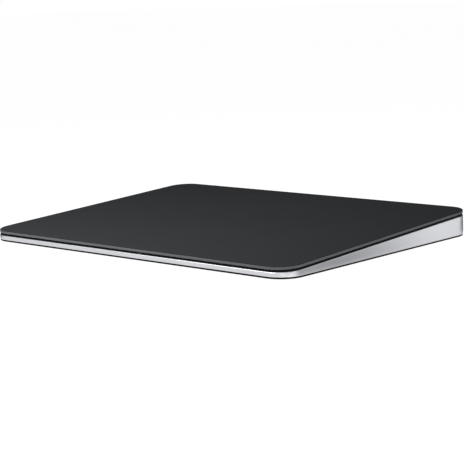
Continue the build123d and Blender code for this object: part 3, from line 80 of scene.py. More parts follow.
NODES = frame["nodes"]
CORNERS = ("front_left", "front_right", "rear_left", "rear_right")
FOOT_LOW, FOOT_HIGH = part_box("foot_" + CORNERS[0])
# How far in, and how far up, each ring under a foot lies from the one round it
FOOT_RINGS = ((0.0007, 0.0), (0.00012, 0.00006), (0.0002, 0.0), (0.00012, -0.00004), (0.0009, 0.00003))
PRESS = next(joint for joint in frame["joints"] if joint["name"] == "touch_press")
DECK_TILT = atan2(-PRESS["axis"][1], PRESS["axis"][2])
SAME_POINT = 0.000001
HEADS_UP = {"board_screws": "base", "haptic_screws": "base", "port_screws": "base", "switch_screws": "base"}
HEADS_DOWN = {"beam_screws": "base", "armature_screws": "touch_plate"}


def tone(red, green, blue):
    """Linear colour, as Blender takes it, of one given as it shows on a screen, 0 to 255."""
    return tuple(((v / 255 + 0.055) / 1.055) ** 2.4 if v > 10 else v / 3294.6 for v in (red, green, blue))


# Settings

class TRACKPAD_PG_housing(PropertyGroup):
    colour: FloatVectorProperty(
        name="Metal colour", description="Colour of the blasted aluminium",
        subtype="COLOR", min=0, max=1, default=tone(191, 192, 196),
    )
    roughness: FloatProperty(
        name="Roughness", description="How matt the blasting leaves the metal",
        subtype="FACTOR", min=0, max=1, default=0.38,
    )
    grain: FloatProperty(
        name="Grain size", description="Size of the pits that the blasting leaves",
        unit="LENGTH", min=0.00002, max=0.002, precision=5, default=0.00014,
    )
    chamfer_width: FloatProperty(
        name="Bright edge width", description="Width of the cut edges, which shine more than the faces",
        unit="LENGTH", min=0, max=0.001, precision=5, default=0.0002,
    )


class TRACKPAD_PG_glass(PropertyGroup):
    colour: FloatVectorProperty(
        name="Surface colour", description="Colour of the dark etched top",
        subtype="COLOR", min=0, max=1, default=tone(53, 54, 56),
    )
    edge_colour: FloatVectorProperty(
        name="Edge colour", description="Colour of the ground edge of the glass",
        subtype="COLOR", min=0, max=1, default=tone(98, 99, 102),
    )
    roughness: FloatProperty(
        name="Roughness", description="How matt the etching leaves the top",
        subtype="FACTOR", min=0, max=1, default=0.75,
    )
    smudge: FloatProperty(
        name="Finger marks", description="How much the finger marks change the gloss",
        subtype="FACTOR", min=0, max=1, default=0.06,
    )


class TRACKPAD_PG_underside(PropertyGroup):
    cover_colour: FloatVectorProperty(
        name="Cover colour", description="Colour of the cover under the housing",
        subtype="COLOR", min=0, max=1, default=tone(11, 11, 12),
    )
    foot_colour: FloatVectorProperty(
        name="Foot colour", description="Colour of the rubber feet",
        subtype="COLOR", min=0, max=1, default=tone(44, 45, 47),
    )
    foot_diameter: FloatProperty(
        name="Foot diameter", description="Width of a foot",
        unit="LENGTH", min=0.002, max=0.02, precision=5, default=FOOT_HIGH.x - FOOT_LOW.x,
    )
    foot_round: FloatProperty(
        name="Foot rounding", description="Radius of a foot's lower edge",
        unit="LENGTH", min=0.00005, max=0.0003, precision=5, default=0.0002,
    )


class TRACKPAD_PG_knob(PropertyGroup):
    groove_count: IntProperty(
        name="Grooves", description="Number of grooves in the finger piece", min=1, max=7, default=3,
    )
    groove_depth: FloatProperty(
        name="Groove depth", description="Depth of a groove",
        unit="LENGTH", min=0.00002, max=0.0004, precision=5, default=0.0002,
    )


class TRACKPAD_PG_beam(PropertyGroup):
    root_end: FloatProperty(
        name="End of the root", description="How far from the middle of the trackpad a beam's neck starts",
        unit="LENGTH", min=0, max=0.08, precision=5, default=0.0485,
    )
    tip_start: FloatProperty(
        name="Start of the tip", description="How far from the middle of the trackpad a beam's neck ends",
        unit="LENGTH", min=0, max=0.08, precision=5, default=0.061,
    )
    bends: IntProperty(
        name="Bends", description="Number of stretches that a beam's neck bends in",
        min=2, max=40, default=12,
    )


class TRACKPAD_PG_screw(PropertyGroup):
    head_width: FloatProperty(
        name="Head width", description="Width of a screw's head",
        unit="LENGTH", min=0.001, max=0.003, precision=5, default=0.0022,
    )
    head_height: FloatProperty(
        name="Head height", description="Height of a screw's head",
        unit="LENGTH", min=0.0002, max=0.0008, precision=5, default=0.0004,
    )
    thread_width: FloatProperty(
        name="Thread width", description="Outer width of the thread",
        unit="LENGTH", min=0.0006, max=0.0016, precision=5, default=0.0012,
    )
    thread_pitch: FloatProperty(
        name="Thread pitch", description="From one crest of the thread to the next",
        unit="LENGTH", min=0.0001, max=0.0005, precision=5, default=0.00025,
    )
    drive_width: FloatProperty(
        name="Drive width", description="Width of the star drive in the head",
        unit="LENGTH", min=0.0004, max=0.0012, precision=5, default=0.0009,
    )
    drive_depth: FloatProperty(
        name="Drive depth", description="Depth of the star drive in the head",
        unit="LENGTH", min=0.0001, max=0.0003, precision=5, default=0.0002,
    )


class TRACKPAD_PG_winding(PropertyGroup):
    wire: FloatProperty(
        name="Wire thickness", description="Thickness of the enamelled wire",
        unit="LENGTH", min=0.0001, max=0.00034, precision=5, default=0.0003,
    )
    cheek: FloatProperty(
        name="Cheek thickness", description="Thickness of the plate at each end of a coil",
        unit="LENGTH", min=0.0001, max=0.001, precision=5, default=0.0003,
    )
    bore_width: FloatProperty(
        name="Bore width", description="Width of the hole that the core's leg goes through",
        unit="LENGTH", min=0.001, max=0.005, precision=5, default=0.00304,
    )
    bore_height: FloatProperty(
        name="Bore height", description="Height of the hole that the core's leg goes through",
        unit="LENGTH", min=0.0005, max=0.0012, precision=5, default=0.00084,
    )


class TRACKPAD_PG_capacitor(PropertyGroup):
    end_share: FloatProperty(
        name="Tinned share", description="Share of the length that each tinned end takes",
        subtype="FACTOR", min=0.1, max=0.4, default=0.24,
    )
    waist: FloatProperty(
        name="Ceramic thickness", description="Thickness of the ceramic against the tinned ends",
        subtype="FACTOR", min=0.7, max=1.0, default=0.92,
    )


class TRACKPAD_PG_stage(PropertyGroup):
    target: FloatVectorProperty(
        name="Target", description="Point that the camera looks at",
        subtype="TRANSLATION", unit="LENGTH", precision=5, default=(0.0018, 0.0011, 0.0025),
    )
    azimuth: FloatProperty(
        name="Azimuth", description="Camera's turn to the right of the front view",
        subtype="ANGLE", default=radians(42.53),
    )
    elevation: FloatProperty(
        name="Elevation", description="Camera's angle above the desk",
        subtype="ANGLE", default=radians(9.36),
    )
    roll: FloatProperty(
        name="Roll", description="Camera's lean about its own line of sight",
        subtype="ANGLE", default=radians(-1.859),
    )
    distance: FloatProperty(
        name="Distance", description="From the camera to its target",
        unit="LENGTH", min=0.1, max=3, default=0.5972,
    )
    lens: FloatProperty(
        name="Lens", description="Focal length on a 36 mm wide sensor",
        unit="CAMERA", min=20, max=300, default=113.9,
    )
    surround: FloatProperty(
        name="Surround light", description="Strength of the even light from all round",
        min=0, max=2, default=0.035,
    )
    key_power: FloatProperty(
        name="Key lamp power", description="Power of the large lamp at the front left",
        unit="POWER", min=0, max=50, default=0.85,
    )
    side_power: FloatProperty(
        name="Side lamp power", description="Power of the low lamp at the right",
        unit="POWER", min=0, max=50, default=1.2,
    )
    fill_power: FloatProperty(
        name="Fill lamp power", description="Power of the lamp beside the camera",
        unit="POWER", min=0, max=50, default=0.7,
    )
    rear_power: FloatProperty(
        name="Rear lamp power", description="Power of the lamp behind the right end",
        unit="POWER", min=0, max=50, default=0.6,
    )
    under_power: FloatProperty(
        name="Under lamp power", description="Power of the lamp that shows the underside from below",
        unit="POWER", min=0, max=50, default=1.0,
    )


# Shader groups

def feed(tree, term, socket):
    """Lead a socket, or write a number or colour, into an input."""
    if isinstance(term, bpy.types.NodeSocket):
        tree.links.new(term, socket)
    elif hasattr(term, "__len__") and len(term) == 3 and socket.type == "RGBA":
        socket.default_value = (*term, 1)
    else:
        socket.default_value = term


def add_node(tree, kind, choices=None, **inputs):
    """One shader node; an input's name has its spaces written as underscores."""
    made = tree.nodes.new("ShaderNode" + kind)
    for key, value in (choices or {}).items():
        setattr(made, key, value)
    for key, term in inputs.items():
        feed(tree, term, made.inputs[key.replace("_", " ")])
    return made


def calc(tree, operation, *terms):
    """A sum of numbers and sockets."""
    made = add_node(tree, "Math", {"operation": operation})
    for term, socket in zip(terms, made.inputs):
        feed(tree, term, socket)
    return made.outputs[0]


def point_calc(tree, operation, *terms):
    """A sum of points or directions."""
    made = add_node(tree, "VectorMath", {"operation": operation})
    for term, socket in zip(terms, made.inputs):
        feed(tree, term, socket)
    return made.outputs["Value" if operation == "DOT_PRODUCT" else "Vector"]


def span(tree, value, low, high, to_low=0.0, to_high=1.0, smooth=False):
    """A value moved from one range to another."""
    choices = {"interpolation_type": "SMOOTHSTEP" if smooth else "LINEAR"}
    made = add_node(tree, "MapRange", choices, From_Min=low, From_Max=high, To_Min=to_low, To_Max=to_high)
    feed(tree, value, made.inputs["Value"])
    return made.outputs["Result"]


def mixed(tree, mask, first, second):
    """One colour where the mask is 0, the other where it is 1."""
    made = add_node(tree, "Mix", {"data_type": "RGBA"})
    for term, name in ((first, "A_Color"), (second, "B_Color"), (mask, "Factor_Float")):
        socket = next(s for s in made.inputs if s.identifier == name)
        feed(tree, term, socket)
    return next(s for s in made.outputs if s.identifier == "Result_Color")


def new_group(name, inputs, outputs):
    """An empty shader node group whose values are plain numbers or points."""
    group = bpy.data.node_groups.new(name, "ShaderNodeTree")
    for label, value in inputs.items():
        kind = "NodeSocketVector" if hasattr(value, "__len__") else "NodeSocketFloat"
        group.interface.new_socket(label, in_out="INPUT", socket_type=kind).default_value = value
    for label in outputs:
        group.interface.new_socket(label, in_out="OUTPUT", socket_type="NodeSocketFloat")
    source = group.nodes.new("NodeGroupInput").outputs
    result = group.nodes.new("NodeGroupOutput").inputs
    return group, source, result


def noise(tree, place, size, detail, roughness=0.5):
    """Soft noise whose spots are about as wide as the size."""
    values = {"Scale": calc(tree, "DIVIDE", 1.0, size), "Detail": detail, "Roughness": roughness}
    return add_node(tree, "TexNoise", Vector=place, **values).outputs["Fac"]


def object_place(tree):
    """The point that is shaded, in the model's own metres."""
    return add_node(tree, "TexCoord").outputs["Object"]


def fine_grain_group():
    """Fine speckle and slow blotches, for what is blasted, moulded or etched."""
    group, source, result = new_group(
        "Fine grain", {"Grain Size": 0.0002, "Blotch Size": 0.02}, ("Grain", "Blotch"),
    )
    place = object_place(group)
    for size, label, detail in (("Grain Size", "Grain", 2.0), ("Blotch Size", "Blotch", 4.0)):
        spots = noise(group, place, source[size], detail)
        group.links.new(span(group, spots, 0.25, 0.75), result[label])
    return group


def edge_wear_group():
    """Mask of the outer edges, broken up so that it doesn't run evenly."""
    group, source, result = new_group(
        "Edge wear", {"Width": 0.0002, "Breakup Size": 0.002, "Evenness": 0.5}, ("Wear",),
    )
    rounded = add_node(group, "Bevel", {"samples": 6}, Radius=source["Width"])
    flat = add_node(group, "NewGeometry").outputs["Normal"]
    turn = calc(group, "SUBTRACT", 1.0, point_calc(group, "DOT_PRODUCT", rounded.outputs[0], flat))
    edge = span(group, turn, 0.01, 0.16, smooth=True)
    spots = noise(group, object_place(group), source["Breakup Size"], 3.0)
    patchy = span(group, spots, 0.35, 0.6, smooth=True)
    kept = calc(group, "MAXIMUM", patchy, source["Evenness"])
    group.links.new(calc(group, "MULTIPLY", edge, kept), result["Wear"])
    return group


def facing_group():
    """Masks of the faces that look sideways and of those that look down."""
    group, source, result = new_group("Facing", {"Lean": 0.5}, ("Sides", "Under"))
    normal = add_node(group, "TexCoord").outputs["Normal"]
    up = add_node(group, "SeparateXYZ", Vector=normal).outputs["Z"]
    group.links.new(calc(group, "LESS_THAN", calc(group, "ABSOLUTE", up), source["Lean"]), result["Sides"])
    down = calc(group, "MULTIPLY", up, -1.0)
    group.links.new(calc(group, "GREATER_THAN", down, source["Lean"]), result["Under"])
    return group


def drawn_lines_group():
    """Long fine lines that rolling, drawing or brushing leaves, along the axis whose stretch is least."""
    group, source, result = new_group(
        "Drawn lines", {"Stretch": (0.05, 1.0, 1.0), "Line Size": 0.0001}, ("Lines",),
    )
    place = point_calc(group, "MULTIPLY", object_place(group), source["Stretch"])
    lines = noise(group, place, source["Line Size"], 4.0, 0.65)
    group.links.new(span(group, lines, 0.3, 0.7), result["Lines"])
    return group


def smudge_group():
    """Soft finger marks and wiped streaks."""
    group, source, result = new_group("Smudges", {"Size": 0.02, "Cover": 0.5}, ("Smudge",))
    place = object_place(group)
    drift = add_node(group, "TexNoise", Vector=place, Scale=60.0, Detail=2.0).outputs["Color"]
    moved = point_calc(group, "ADD", place, point_calc(group, "MULTIPLY", drift, (0.012, 0.012, 0.0)))
    marks = noise(group, moved, source["Size"], 5.0, 0.6)
    low = calc(group, "SUBTRACT", 0.8, calc(group, "MULTIPLY", source["Cover"], 0.6))
    high = calc(group, "ADD", low, 0.2)
    group.links.new(span(group, marks, low, high, smooth=True), result["Smudge"])
    return group


def conductor_group():
    """Parallel lines across one direction, such as the conductors of a ribbon or the sheets of a core."""
    group, source, result = new_group(
        "Conductors", {"Across": (0.0, 1.0, 0.0), "Pitch": 0.0005, "Share": 0.5, "Wander": 0.0}, ("Line",),
    )
    place = object_place(group)
    drift = add_node(group, "TexNoise", Vector=place, Scale=400.0).outputs["Fac"]
    reach = point_calc(group, "DOT_PRODUCT", place, source["Across"])
    reach = calc(group, "ADD", reach, calc(group, "MULTIPLY", drift, source["Wander"]))
    wave = calc(group, "FRACT", calc(group, "DIVIDE", reach, source["Pitch"]))
    ramp = calc(group, "MULTIPLY", calc(group, "ABSOLUTE", calc(group, "SUBTRACT", wave, 0.5)), 2.0)
    low = calc(group, "SUBTRACT", source["Share"], 0.1)
    high = calc(group, "ADD", source["Share"], 0.1)
    group.links.new(span(group, ramp, low, high, 1.0, 0.0, smooth=True), result["Line"])
    return group


def board_group():
    """Copper runs under the lacquer of a circuit board, with round plated holes where some of them end."""
    group, source, result = new_group("Board copper", {"Pitch": 0.0012}, ("Runs", "Pads"))
    place = point_calc(group, "MULTIPLY", object_place(group), (1.0, 1.0, 0.0))
    scale = calc(group, "DIVIDE", 1.0, source["Pitch"])
    patches = add_node(group, "TexNoise", Vector=place, Scale=90.0, Detail=0.0).outputs["Fac"]
    runs = []
    for turn in (0.0, pi / 2, pi / 4):
        turned = add_node(group, "VectorRotate", {"rotation_type": "Z_AXIS"}, Vector=place, Angle=turn)
        brick = add_node(
            group, "TexBrick", {"offset": 0.5, "squash": 1.0}, Vector=turned.outputs[0], Scale=scale,
            Mortar_Size=0.12, Mortar_Smooth=0.1, Bias=0.0, Brick_Width=9.0, Row_Height=1.0,
        )
        runs.append(brick.outputs["Fac"])
    lengthways = calc(group, "LESS_THAN", patches, 0.48)
    slanted = calc(group, "GREATER_THAN", patches, 0.56)
    crossways = calc(group, "SUBTRACT", calc(group, "SUBTRACT", 1.0, lengthways), slanted)
    total = calc(group, "MULTIPLY", runs[0], lengthways)
    total = calc(group, "MULTIPLY_ADD", runs[1], crossways, total)
    total = calc(group, "MULTIPLY_ADD", runs[2], slanted, total)
    cells = add_node(
        group, "TexVoronoi", {"voronoi_dimensions": "2D"}, Vector=place, Randomness=0.75,
        Scale=calc(group, "MULTIPLY", scale, 0.45),
    )
    pads = calc(group, "LESS_THAN", cells.outputs["Distance"], 0.13)
    group.links.new(total, result["Runs"])
    group.links.new(pads, result["Pads"])
    return group


GROUP_MAKERS = {
    "grain": fine_grain_group, "wear": edge_wear_group, "facing": facing_group, "lines": drawn_lines_group,
    "smudge": smudge_group, "conductors": conductor_group, "board": board_group,
}
GROUPS = {}


class Finish:
    """A material in the making: its one shader, the shared groups placed in it, and what feeds it."""

    def __init__(self, name, **uniform):
        self.material = bpy.data.materials.new(name)
        self.material.use_nodes = True
        self.tree = self.material.node_tree
        self.shader = self.tree.nodes["Principled BSDF"]
        for label, value in uniform.items():
            feed(self.tree, value, self.shader.inputs[label.replace("_", " ")])

    def group(self, which, **values):
        if which not in GROUPS:
            GROUPS[which] = GROUP_MAKERS[which]()
        made = self.tree.nodes.new("ShaderNodeGroup")
        made.node_tree = GROUPS[which]
        for label, value in values.items():
            feed(self.tree, value, made.inputs[label.replace("_", " ")])
        return made.outputs

    def calc(self, operation, *terms):
        return calc(self.tree, operation, *terms)

    def span(self, value, to_low, to_high, low=0.0, high=1.0):
        return span(self.tree, value, low, high, to_low, to_high)

    def mixed(self, mask, first, second):
        return mixed(self.tree, mask, first, second)

    def shaded(self, mask, colour, low, high):
        """A colour times one share where the mask is 0, and times the other where it is 1."""
        return self.mixed(mask, times(colour, low), times(colour, high))

    def feed(self, label, term):
        feed(self.tree, term, self.shader.inputs[label])

    def complete(self, base, gloss, height, depth):
        """Lead in colour, roughness and a bump of a height from 0 to 1, depth metres high at most."""
        self.feed("Base Color", base)
        self.feed("Roughness", gloss)
        bump = add_node(self.tree, "Bump", Strength=1.0, Distance=depth, Height=height)
        self.feed("Normal", bump.outputs["Normal"])
        return self.material


def times(colour, share):
    """A colour made darker or lighter, kept under white."""
    return tuple(min(1.0, v * share) for v in colour)


def plain_finish(
    name, colour, roughness, metallic=0.0, grain=0.0002, depth=0.000002, blotch=0.01, shift=0.1,
    spread=0.12, worn=None, wear_width=0.0001, **uniform,
):
    """Finish of one stuff: slow colour shift, speckled gloss, fine bump and, if asked, worn edges."""
    made = Finish(name, Metallic=metallic, **uniform)
    speckle = made.group("grain", Grain_Size=grain, Blotch_Size=blotch)
    base = made.shaded(speckle["Blotch"], colour, 1 - shift, 1 + shift)
    gloss = made.calc("MULTIPLY_ADD", speckle["Grain"], 0.5, made.calc("MULTIPLY", speckle["Blotch"], 0.5))
    gloss = made.span(gloss, max(0.02, roughness - spread), min(1.0, roughness + spread))
    if worn:
        mask = made.group("wear", Width=wear_width)["Wear"]
        base = made.mixed(mask, base, worn)
        gloss = made.calc("MULTIPLY", gloss, made.span(mask, 1.0, 0.75))
    made.complete(base, gloss, speckle["Grain"], depth)
    made.base, made.gloss = base, gloss
    return made


# Finishes of the outside

def blasted_aluminium(settings):
    """Bead-blasted, clear-anodised aluminium whose cut edges are lighter, partly as bare cut metal and partly
    as a painted highlight, with painted shade on the faces that look down.
    """
    made = Finish("blasted aluminium", Metallic=1.0)
    speckle = made.group("grain", Grain_Size=settings.grain, Blotch_Size=0.03)
    pits = made.group("grain", Grain_Size=settings.grain * 3.5, Blotch_Size=0.004)
    edge = made.group("wear", Width=settings.chamfer_width, Breakup_Size=0.004, Evenness=0.85)["Wear"]
    colour = tuple(settings.colour)
    base = made.shaded(speckle["Blotch"], colour, 0.97, 1.03)
    base = made.mixed(made.calc("MULTIPLY", pits["Grain"], 0.06), base, times(colour, 0.8))
    # Cut edges lightened to pale grey: partly the bare cut metal, partly a painted highlight
    base = made.mixed(made.calc("MULTIPLY", edge, 0.6), base, tone(226, 227, 229))
    # Faces that look down, such as the lower chamfer, are painted dark: painted shade
    under = made.group("facing", Lean=0.5)["Under"]
    base = made.mixed(under, base, times(colour, 0.12))
    gloss = made.span(speckle["Grain"], settings.roughness - 0.05, settings.roughness + 0.05)
    gloss = made.calc("ADD", gloss, made.span(pits["Blotch"], -0.02, 0.02))
    gloss = made.calc("SUBTRACT", gloss, made.calc("MULTIPLY", edge, 0.14))
    height = made.calc("MULTIPLY_ADD", pits["Grain"], 0.6, speckle["Grain"])
    return made.complete(base, gloss, height, 0.0000016)


def etched_glass(settings):
    """Dark glass, etched matt on top, with a paler ground edge and a black print behind."""
    made = Finish("etched glass", Metallic=0.0, IOR=1.5, Specular_IOR_Level=0.002)
    speckle = made.group("grain", Grain_Size=0.00006, Blotch_Size=0.035)
    facing = made.group("facing", Lean=0.6)
    flat = made.group("facing", Lean=0.95)
    smudge = made.group("smudge", Size=0.018, Cover=0.4)["Smudge"]
    colour, side = tuple(settings.colour), tuple(settings.edge_colour)
    base = made.shaded(speckle["Blotch"], colour, 0.97, 1.03)
    base = made.mixed(made.calc("MULTIPLY", flat["Sides"], 0.6), base, tone(10, 10, 11))
    ground = made.shaded(speckle["Grain"], side, 0.93, 1.07)
    base = made.mixed(facing["Sides"], base, ground)
    base = made.mixed(facing["Under"], base, tone(9, 9, 10))
    gloss = made.span(speckle["Grain"], settings.roughness - 0.03, settings.roughness + 0.03)
    gloss = made.calc("SUBTRACT", gloss, made.calc("MULTIPLY", smudge, settings.smudge))
    gloss = made.calc("MULTIPLY_ADD", facing["Sides"], 0.12, gloss)
    return made.complete(base, gloss, speckle["Grain"], 0.0000007)


def cover_paint(settings):
    """Fine textured dark paint of the bottom cover."""
    colour = tuple(settings.cover_colour)
    made = plain_finish(
        "cover paint", colour, 0.55, grain=0.00035, depth=0.000012, blotch=0.03, shift=0.05,
        spread=0.08, worn=times(colour, 1.8), wear_width=0.00012,
        Specular_IOR_Level=0.03,
    )
    return made.material


def foot_rubber(settings):
    """Soft dark rubber that has picked up a little lint."""
    colour = tuple(settings.foot_colour)
    made = plain_finish(
        "soft foot rubber", colour, 0.78, grain=0.00025, depth=0.000015, blotch=0.003, shift=0.12,
    )
    lint = made.group("grain", Grain_Size=0.0009, Blotch_Size=0.004)
    mask = made.span(lint["Grain"], 0.0, 0.35, 0.78, 0.9)
    made.feed("Base Color", made.mixed(mask, made.base, tone(150, 148, 142)))
    return made.material


# Colour, roughness and what else departs from the usual, of finishes that need nothing more
PLAIN_FINISHES = {
    "seal rubber": (tone(8, 8, 9), 0.75, {"grain": 0.0003, "depth": 0.000008, "Specular_IOR_Level": 0.1}),
    "amber tape": (
        tone(190, 118, 30), 0.3,
        {"grain": 0.0005, "depth": 0.000004, "blotch": 0.004, "shift": 0.15, "Coat_Weight": 0.3},
    ),
    "chip plastic": (
        tone(30, 30, 32), 0.5,
        {"grain": 0.00008, "depth": 0.000003, "blotch": 0.003, "shift": 0.15,
         "worn": tone(70, 70, 72), "wear_width": 0.00006},
    ),
    "capacitor ceramic": (
        tone(158, 126, 94), 0.45,
        {"grain": 0.0001, "depth": 0.000003, "blotch": 0.0016, "shift": 0.2,
         "worn": tone(196, 170, 140), "wear_width": 0.00005},
    ),
    "tinned ends": (
        tone(190, 189, 184), 0.34,
        {"metallic": 1.0, "grain": 0.00008, "blotch": 0.0006,
         "worn": tone(220, 220, 217), "wear_width": 0.00004},
    ),
    "connector plastic": (
        tone(222, 214, 194), 0.42,
        {"grain": 0.0001, "depth": 0.000003, "blotch": 0.003, "shift": 0.05,
         "worn": tone(240, 236, 224), "wear_width": 0.00008},
    ),
    "turned screw steel": (
        tone(132, 133, 137), 0.3,
        {"metallic": 1.0, "grain": 0.00012, "blotch": 0.0012, "shift": 0.12,
         "worn": tone(205, 206, 208), "wear_width": 0.00008},
    ),
    "contact gold": (
        tone(232, 190, 104), 0.2,
        {"metallic": 1.0, "grain": 0.0001, "depth": 0.000001, "blotch": 0.001, "shift": 0.08,
         "spread": 0.08, "worn": tone(240, 214, 150), "wear_width": 0.00004},
    ),
    "marking green": (
        tone(86, 186, 84), 0.4, {"grain": 0.0003, "depth": 0.000005, "blotch": 0.002, "shift": 0.06},
    ),
}


def plain(name):
    """Material of a plain finish in the table."""
    colour, roughness, values = PLAIN_FINISHES[name]
    return plain_finish(name, colour, roughness, **values).material


# Finishes of the inside

def rolled_steel(name, colour, roughness=0.32, stretch=(0.04, 1.0, 1.0), worn=tone(225, 225, 224)):
    """Sheet steel with its rolling lines and clean cut edges."""
    made = Finish(name, Metallic=1.0)
    speckle = made.group("grain", Grain_Size=0.0004, Blotch_Size=0.012)
    lines = made.group("lines", Stretch=stretch, Line_Size=0.00012)["Lines"]
    edge = made.group("wear", Width=0.00015, Breakup_Size=0.002, Evenness=0.6)["Wear"]
    base = made.shaded(lines, colour, 0.88, 1.1)
    base = made.mixed(made.calc("MULTIPLY", speckle["Blotch"], 0.25), base, times(colour, 0.8))
    base = made.mixed(made.calc("MULTIPLY", edge, 0.7), base, worn)
    gloss = made.span(lines, roughness - 0.08, roughness + 0.1)
    gloss = made.calc("ADD", gloss, made.span(speckle["Blotch"], -0.04, 0.06))
    return made.complete(base, gloss, lines, 0.0000015)


# Two tones of the fibre in a board's edge as cut, and two near-black tones that paint shade on an edge
BARE_EDGE = (tone(150, 138, 92), tone(186, 174, 122))
SHADE_PAINTED_EDGE = (tone(13, 13, 13), tone(22, 22, 21))


def circuit_lacquer(name, pitch=0.0012, lacquer=tone(14, 58, 40), edge=BARE_EDGE):
    """Green lacquer over copper runs, gold on the plated holes, and the cut edge in the two tones given, by
    default those of the bare glass fibre.
    """
    made = Finish(name)
    speckle = made.group("grain", Grain_Size=0.00015, Blotch_Size=0.02)
    copper = made.group("board", Pitch=pitch)
    facing = made.group("facing", Lean=0.5)
    threads = made.group("conductors", Across=(0.0, 0.0, 1.0), Pitch=0.00016, Share=0.5, Wander=0.0001)
    flat = made.calc("SUBTRACT", 1.0, facing["Sides"])
    pads = made.calc("MULTIPLY", copper["Pads"], flat)
    runs = made.calc("MULTIPLY", copper["Runs"], flat)
    base = made.shaded(speckle["Blotch"], lacquer, 0.85, 1.15)
    base = made.mixed(runs, base, times(lacquer, 2.1))
    base = made.mixed(facing["Sides"], base, made.mixed(threads["Line"], *edge))
    base = made.mixed(pads, base, tone(214, 176, 96))
    gloss = made.span(speckle["Grain"], 0.28, 0.4)
    gloss = made.calc("MULTIPLY_ADD", facing["Sides"], 0.4, gloss)
    made.feed("Metallic", made.calc("MULTIPLY", pads, 0.95))
    return made.complete(base, gloss, made.calc("MAXIMUM", runs, pads), 0.00002)


def ribbon_film(name, across, pitch=0.0004, share=0.55):
    """Amber film over a row of copper conductors."""
    made = Finish(name, Coat_Weight=0.25, Coat_Roughness=0.2)
    film, copper = tone(150, 84, 24), tone(206, 128, 58)
    speckle = made.group("grain", Grain_Size=0.0003, Blotch_Size=0.006)
    line = made.group("conductors", Across=across, Pitch=pitch, Share=share)["Line"]
    facing = made.group("facing", Lean=0.35)
    base = made.shaded(speckle["Blotch"], film, 0.85, 1.15)
    base = made.mixed(made.calc("MULTIPLY", line, 0.8), base, copper)
    base = made.mixed(facing["Sides"], base, times(film, 0.7))
    return made.complete(base, made.span(speckle["Grain"], 0.3, 0.42), line, 0.000012)


def adhesive_film():
    """Clear double-sided adhesive with small trapped bubbles."""
    made = Finish("clear adhesive", Transmission_Weight=0.55, IOR=1.47)
    speckle = made.group("grain", Grain_Size=0.0006, Blotch_Size=0.01)
    bubbles = made.span(speckle["Grain"], 0.0, 1.0, 0.7, 0.95)
    base = made.mixed(speckle["Blotch"], tone(214, 212, 200), tone(232, 230, 220))
    base = made.mixed(made.calc("MULTIPLY", bubbles, 0.5), base, tone(245, 245, 242))
    return made.complete(base, made.span(speckle["Blotch"], 0.28, 0.45), bubbles, 0.00001)


def gel():
    """Soft clear silicone of the pads on the force beams."""
    made = Finish("clear gel", Transmission_Weight=0.45, IOR=1.41)
    speckle = made.group("grain", Grain_Size=0.0007, Blotch_Size=0.003)
    base = made.mixed(speckle["Blotch"], tone(176, 190, 200), tone(204, 214, 220))
    return made.complete(base, made.span(speckle["Grain"], 0.18, 0.34), speckle["Grain"], 0.00001)


def core_iron():
    """Soft iron sheets stacked flat, so that the cut sides show their layers."""
    made = Finish("stacked core iron", Metallic=1.0)
    iron = tone(118, 120, 126)
    speckle = made.group("grain", Grain_Size=0.0003, Blotch_Size=0.004)
    layer = made.group("conductors", Across=(0.0, 0.0, 1.0), Pitch=0.0001, Share=0.7)["Line"]
    facing = made.group("facing", Lean=0.5)
    edge = made.group("wear", Width=0.00012, Breakup_Size=0.001, Evenness=0.4)["Wear"]
    cut = made.calc("MULTIPLY", made.calc("SUBTRACT", 1.0, layer), facing["Sides"])
    base = made.shaded(speckle["Blotch"], iron, 0.85, 1.15)
    base = made.mixed(cut, base, times(iron, 0.3))
    base = made.mixed(made.calc("MULTIPLY", edge, 0.5), base, tone(205, 206, 208))
    height = made.calc("SUBTRACT", speckle["Grain"], cut)
    return made.complete(base, made.span(speckle["Grain"], 0.4, 0.58), height, 0.000006)


def enamelled_copper():
    """Copper wire under clear enamel, a little uneven from turn to turn."""
    made = Finish("enamelled copper", Metallic=1.0, Coat_Weight=0.7, Coat_Roughness=0.12)
    copper = tone(196, 104, 62)
    speckle = made.group("grain", Grain_Size=0.0001, Blotch_Size=0.0014)
    base = made.shaded(speckle["Blotch"], copper, 0.8, 1.14)
    return made.complete(base, made.span(speckle["Grain"], 0.2, 0.34), speckle["Grain"], 0.000002)


def pouch_foil():
    """Grey laminated foil of the battery, with its pressed grain and a few soft creases."""
    made = Finish("pouch foil", Metallic=0.85)
    foil = tone(150, 152, 157)
    speckle = made.group("grain", Grain_Size=0.00035, Blotch_Size=0.008)
    creases = made.group("smudge", Size=0.011, Cover=0.35)["Smudge"]
    pressed = made.group("conductors", Across=(0.707, 0.707, 0.0), Pitch=0.0006, Share=0.5)["Line"]
    crossed = made.group("conductors", Across=(0.707, -0.707, 0.0), Pitch=0.0006, Share=0.5)["Line"]
    edge = made.group("wear", Width=0.0003, Breakup_Size=0.003, Evenness=0.3)["Wear"]
    dimple = made.calc("MULTIPLY", pressed, crossed)
    base = made.shaded(speckle["Blotch"], foil, 0.9, 1.08)
    base = made.mixed(made.calc("MULTIPLY", dimple, 0.12), base, times(foil, 0.7))
    base = made.mixed(made.calc("MULTIPLY", edge, 0.4), base, tone(214, 215, 218))
    height = made.calc("MULTIPLY_ADD", creases, 2.5, dimple)
    return made.complete(base, made.span(speckle["Grain"], 0.32, 0.46), height, 0.000012)


def tinned_steel():
    """Thin tinned lid with the soft flowers of the tin."""
    made = Finish("tinned steel", Metallic=1.0)
    tin = tone(188, 187, 180)
    speckle = made.group("grain", Grain_Size=0.0003, Blotch_Size=0.0025)
    edge = made.group("wear", Width=0.0002, Breakup_Size=0.002, Evenness=0.6)["Wear"]
    base = made.shaded(speckle["Blotch"], tin, 0.85, 1.1)
    base = made.mixed(made.calc("MULTIPLY", edge, 0.6), base, tone(226, 226, 222))
    return made.complete(base, made.span(speckle["Blotch"], 0.24, 0.42), speckle["Blotch"], 0.000006)


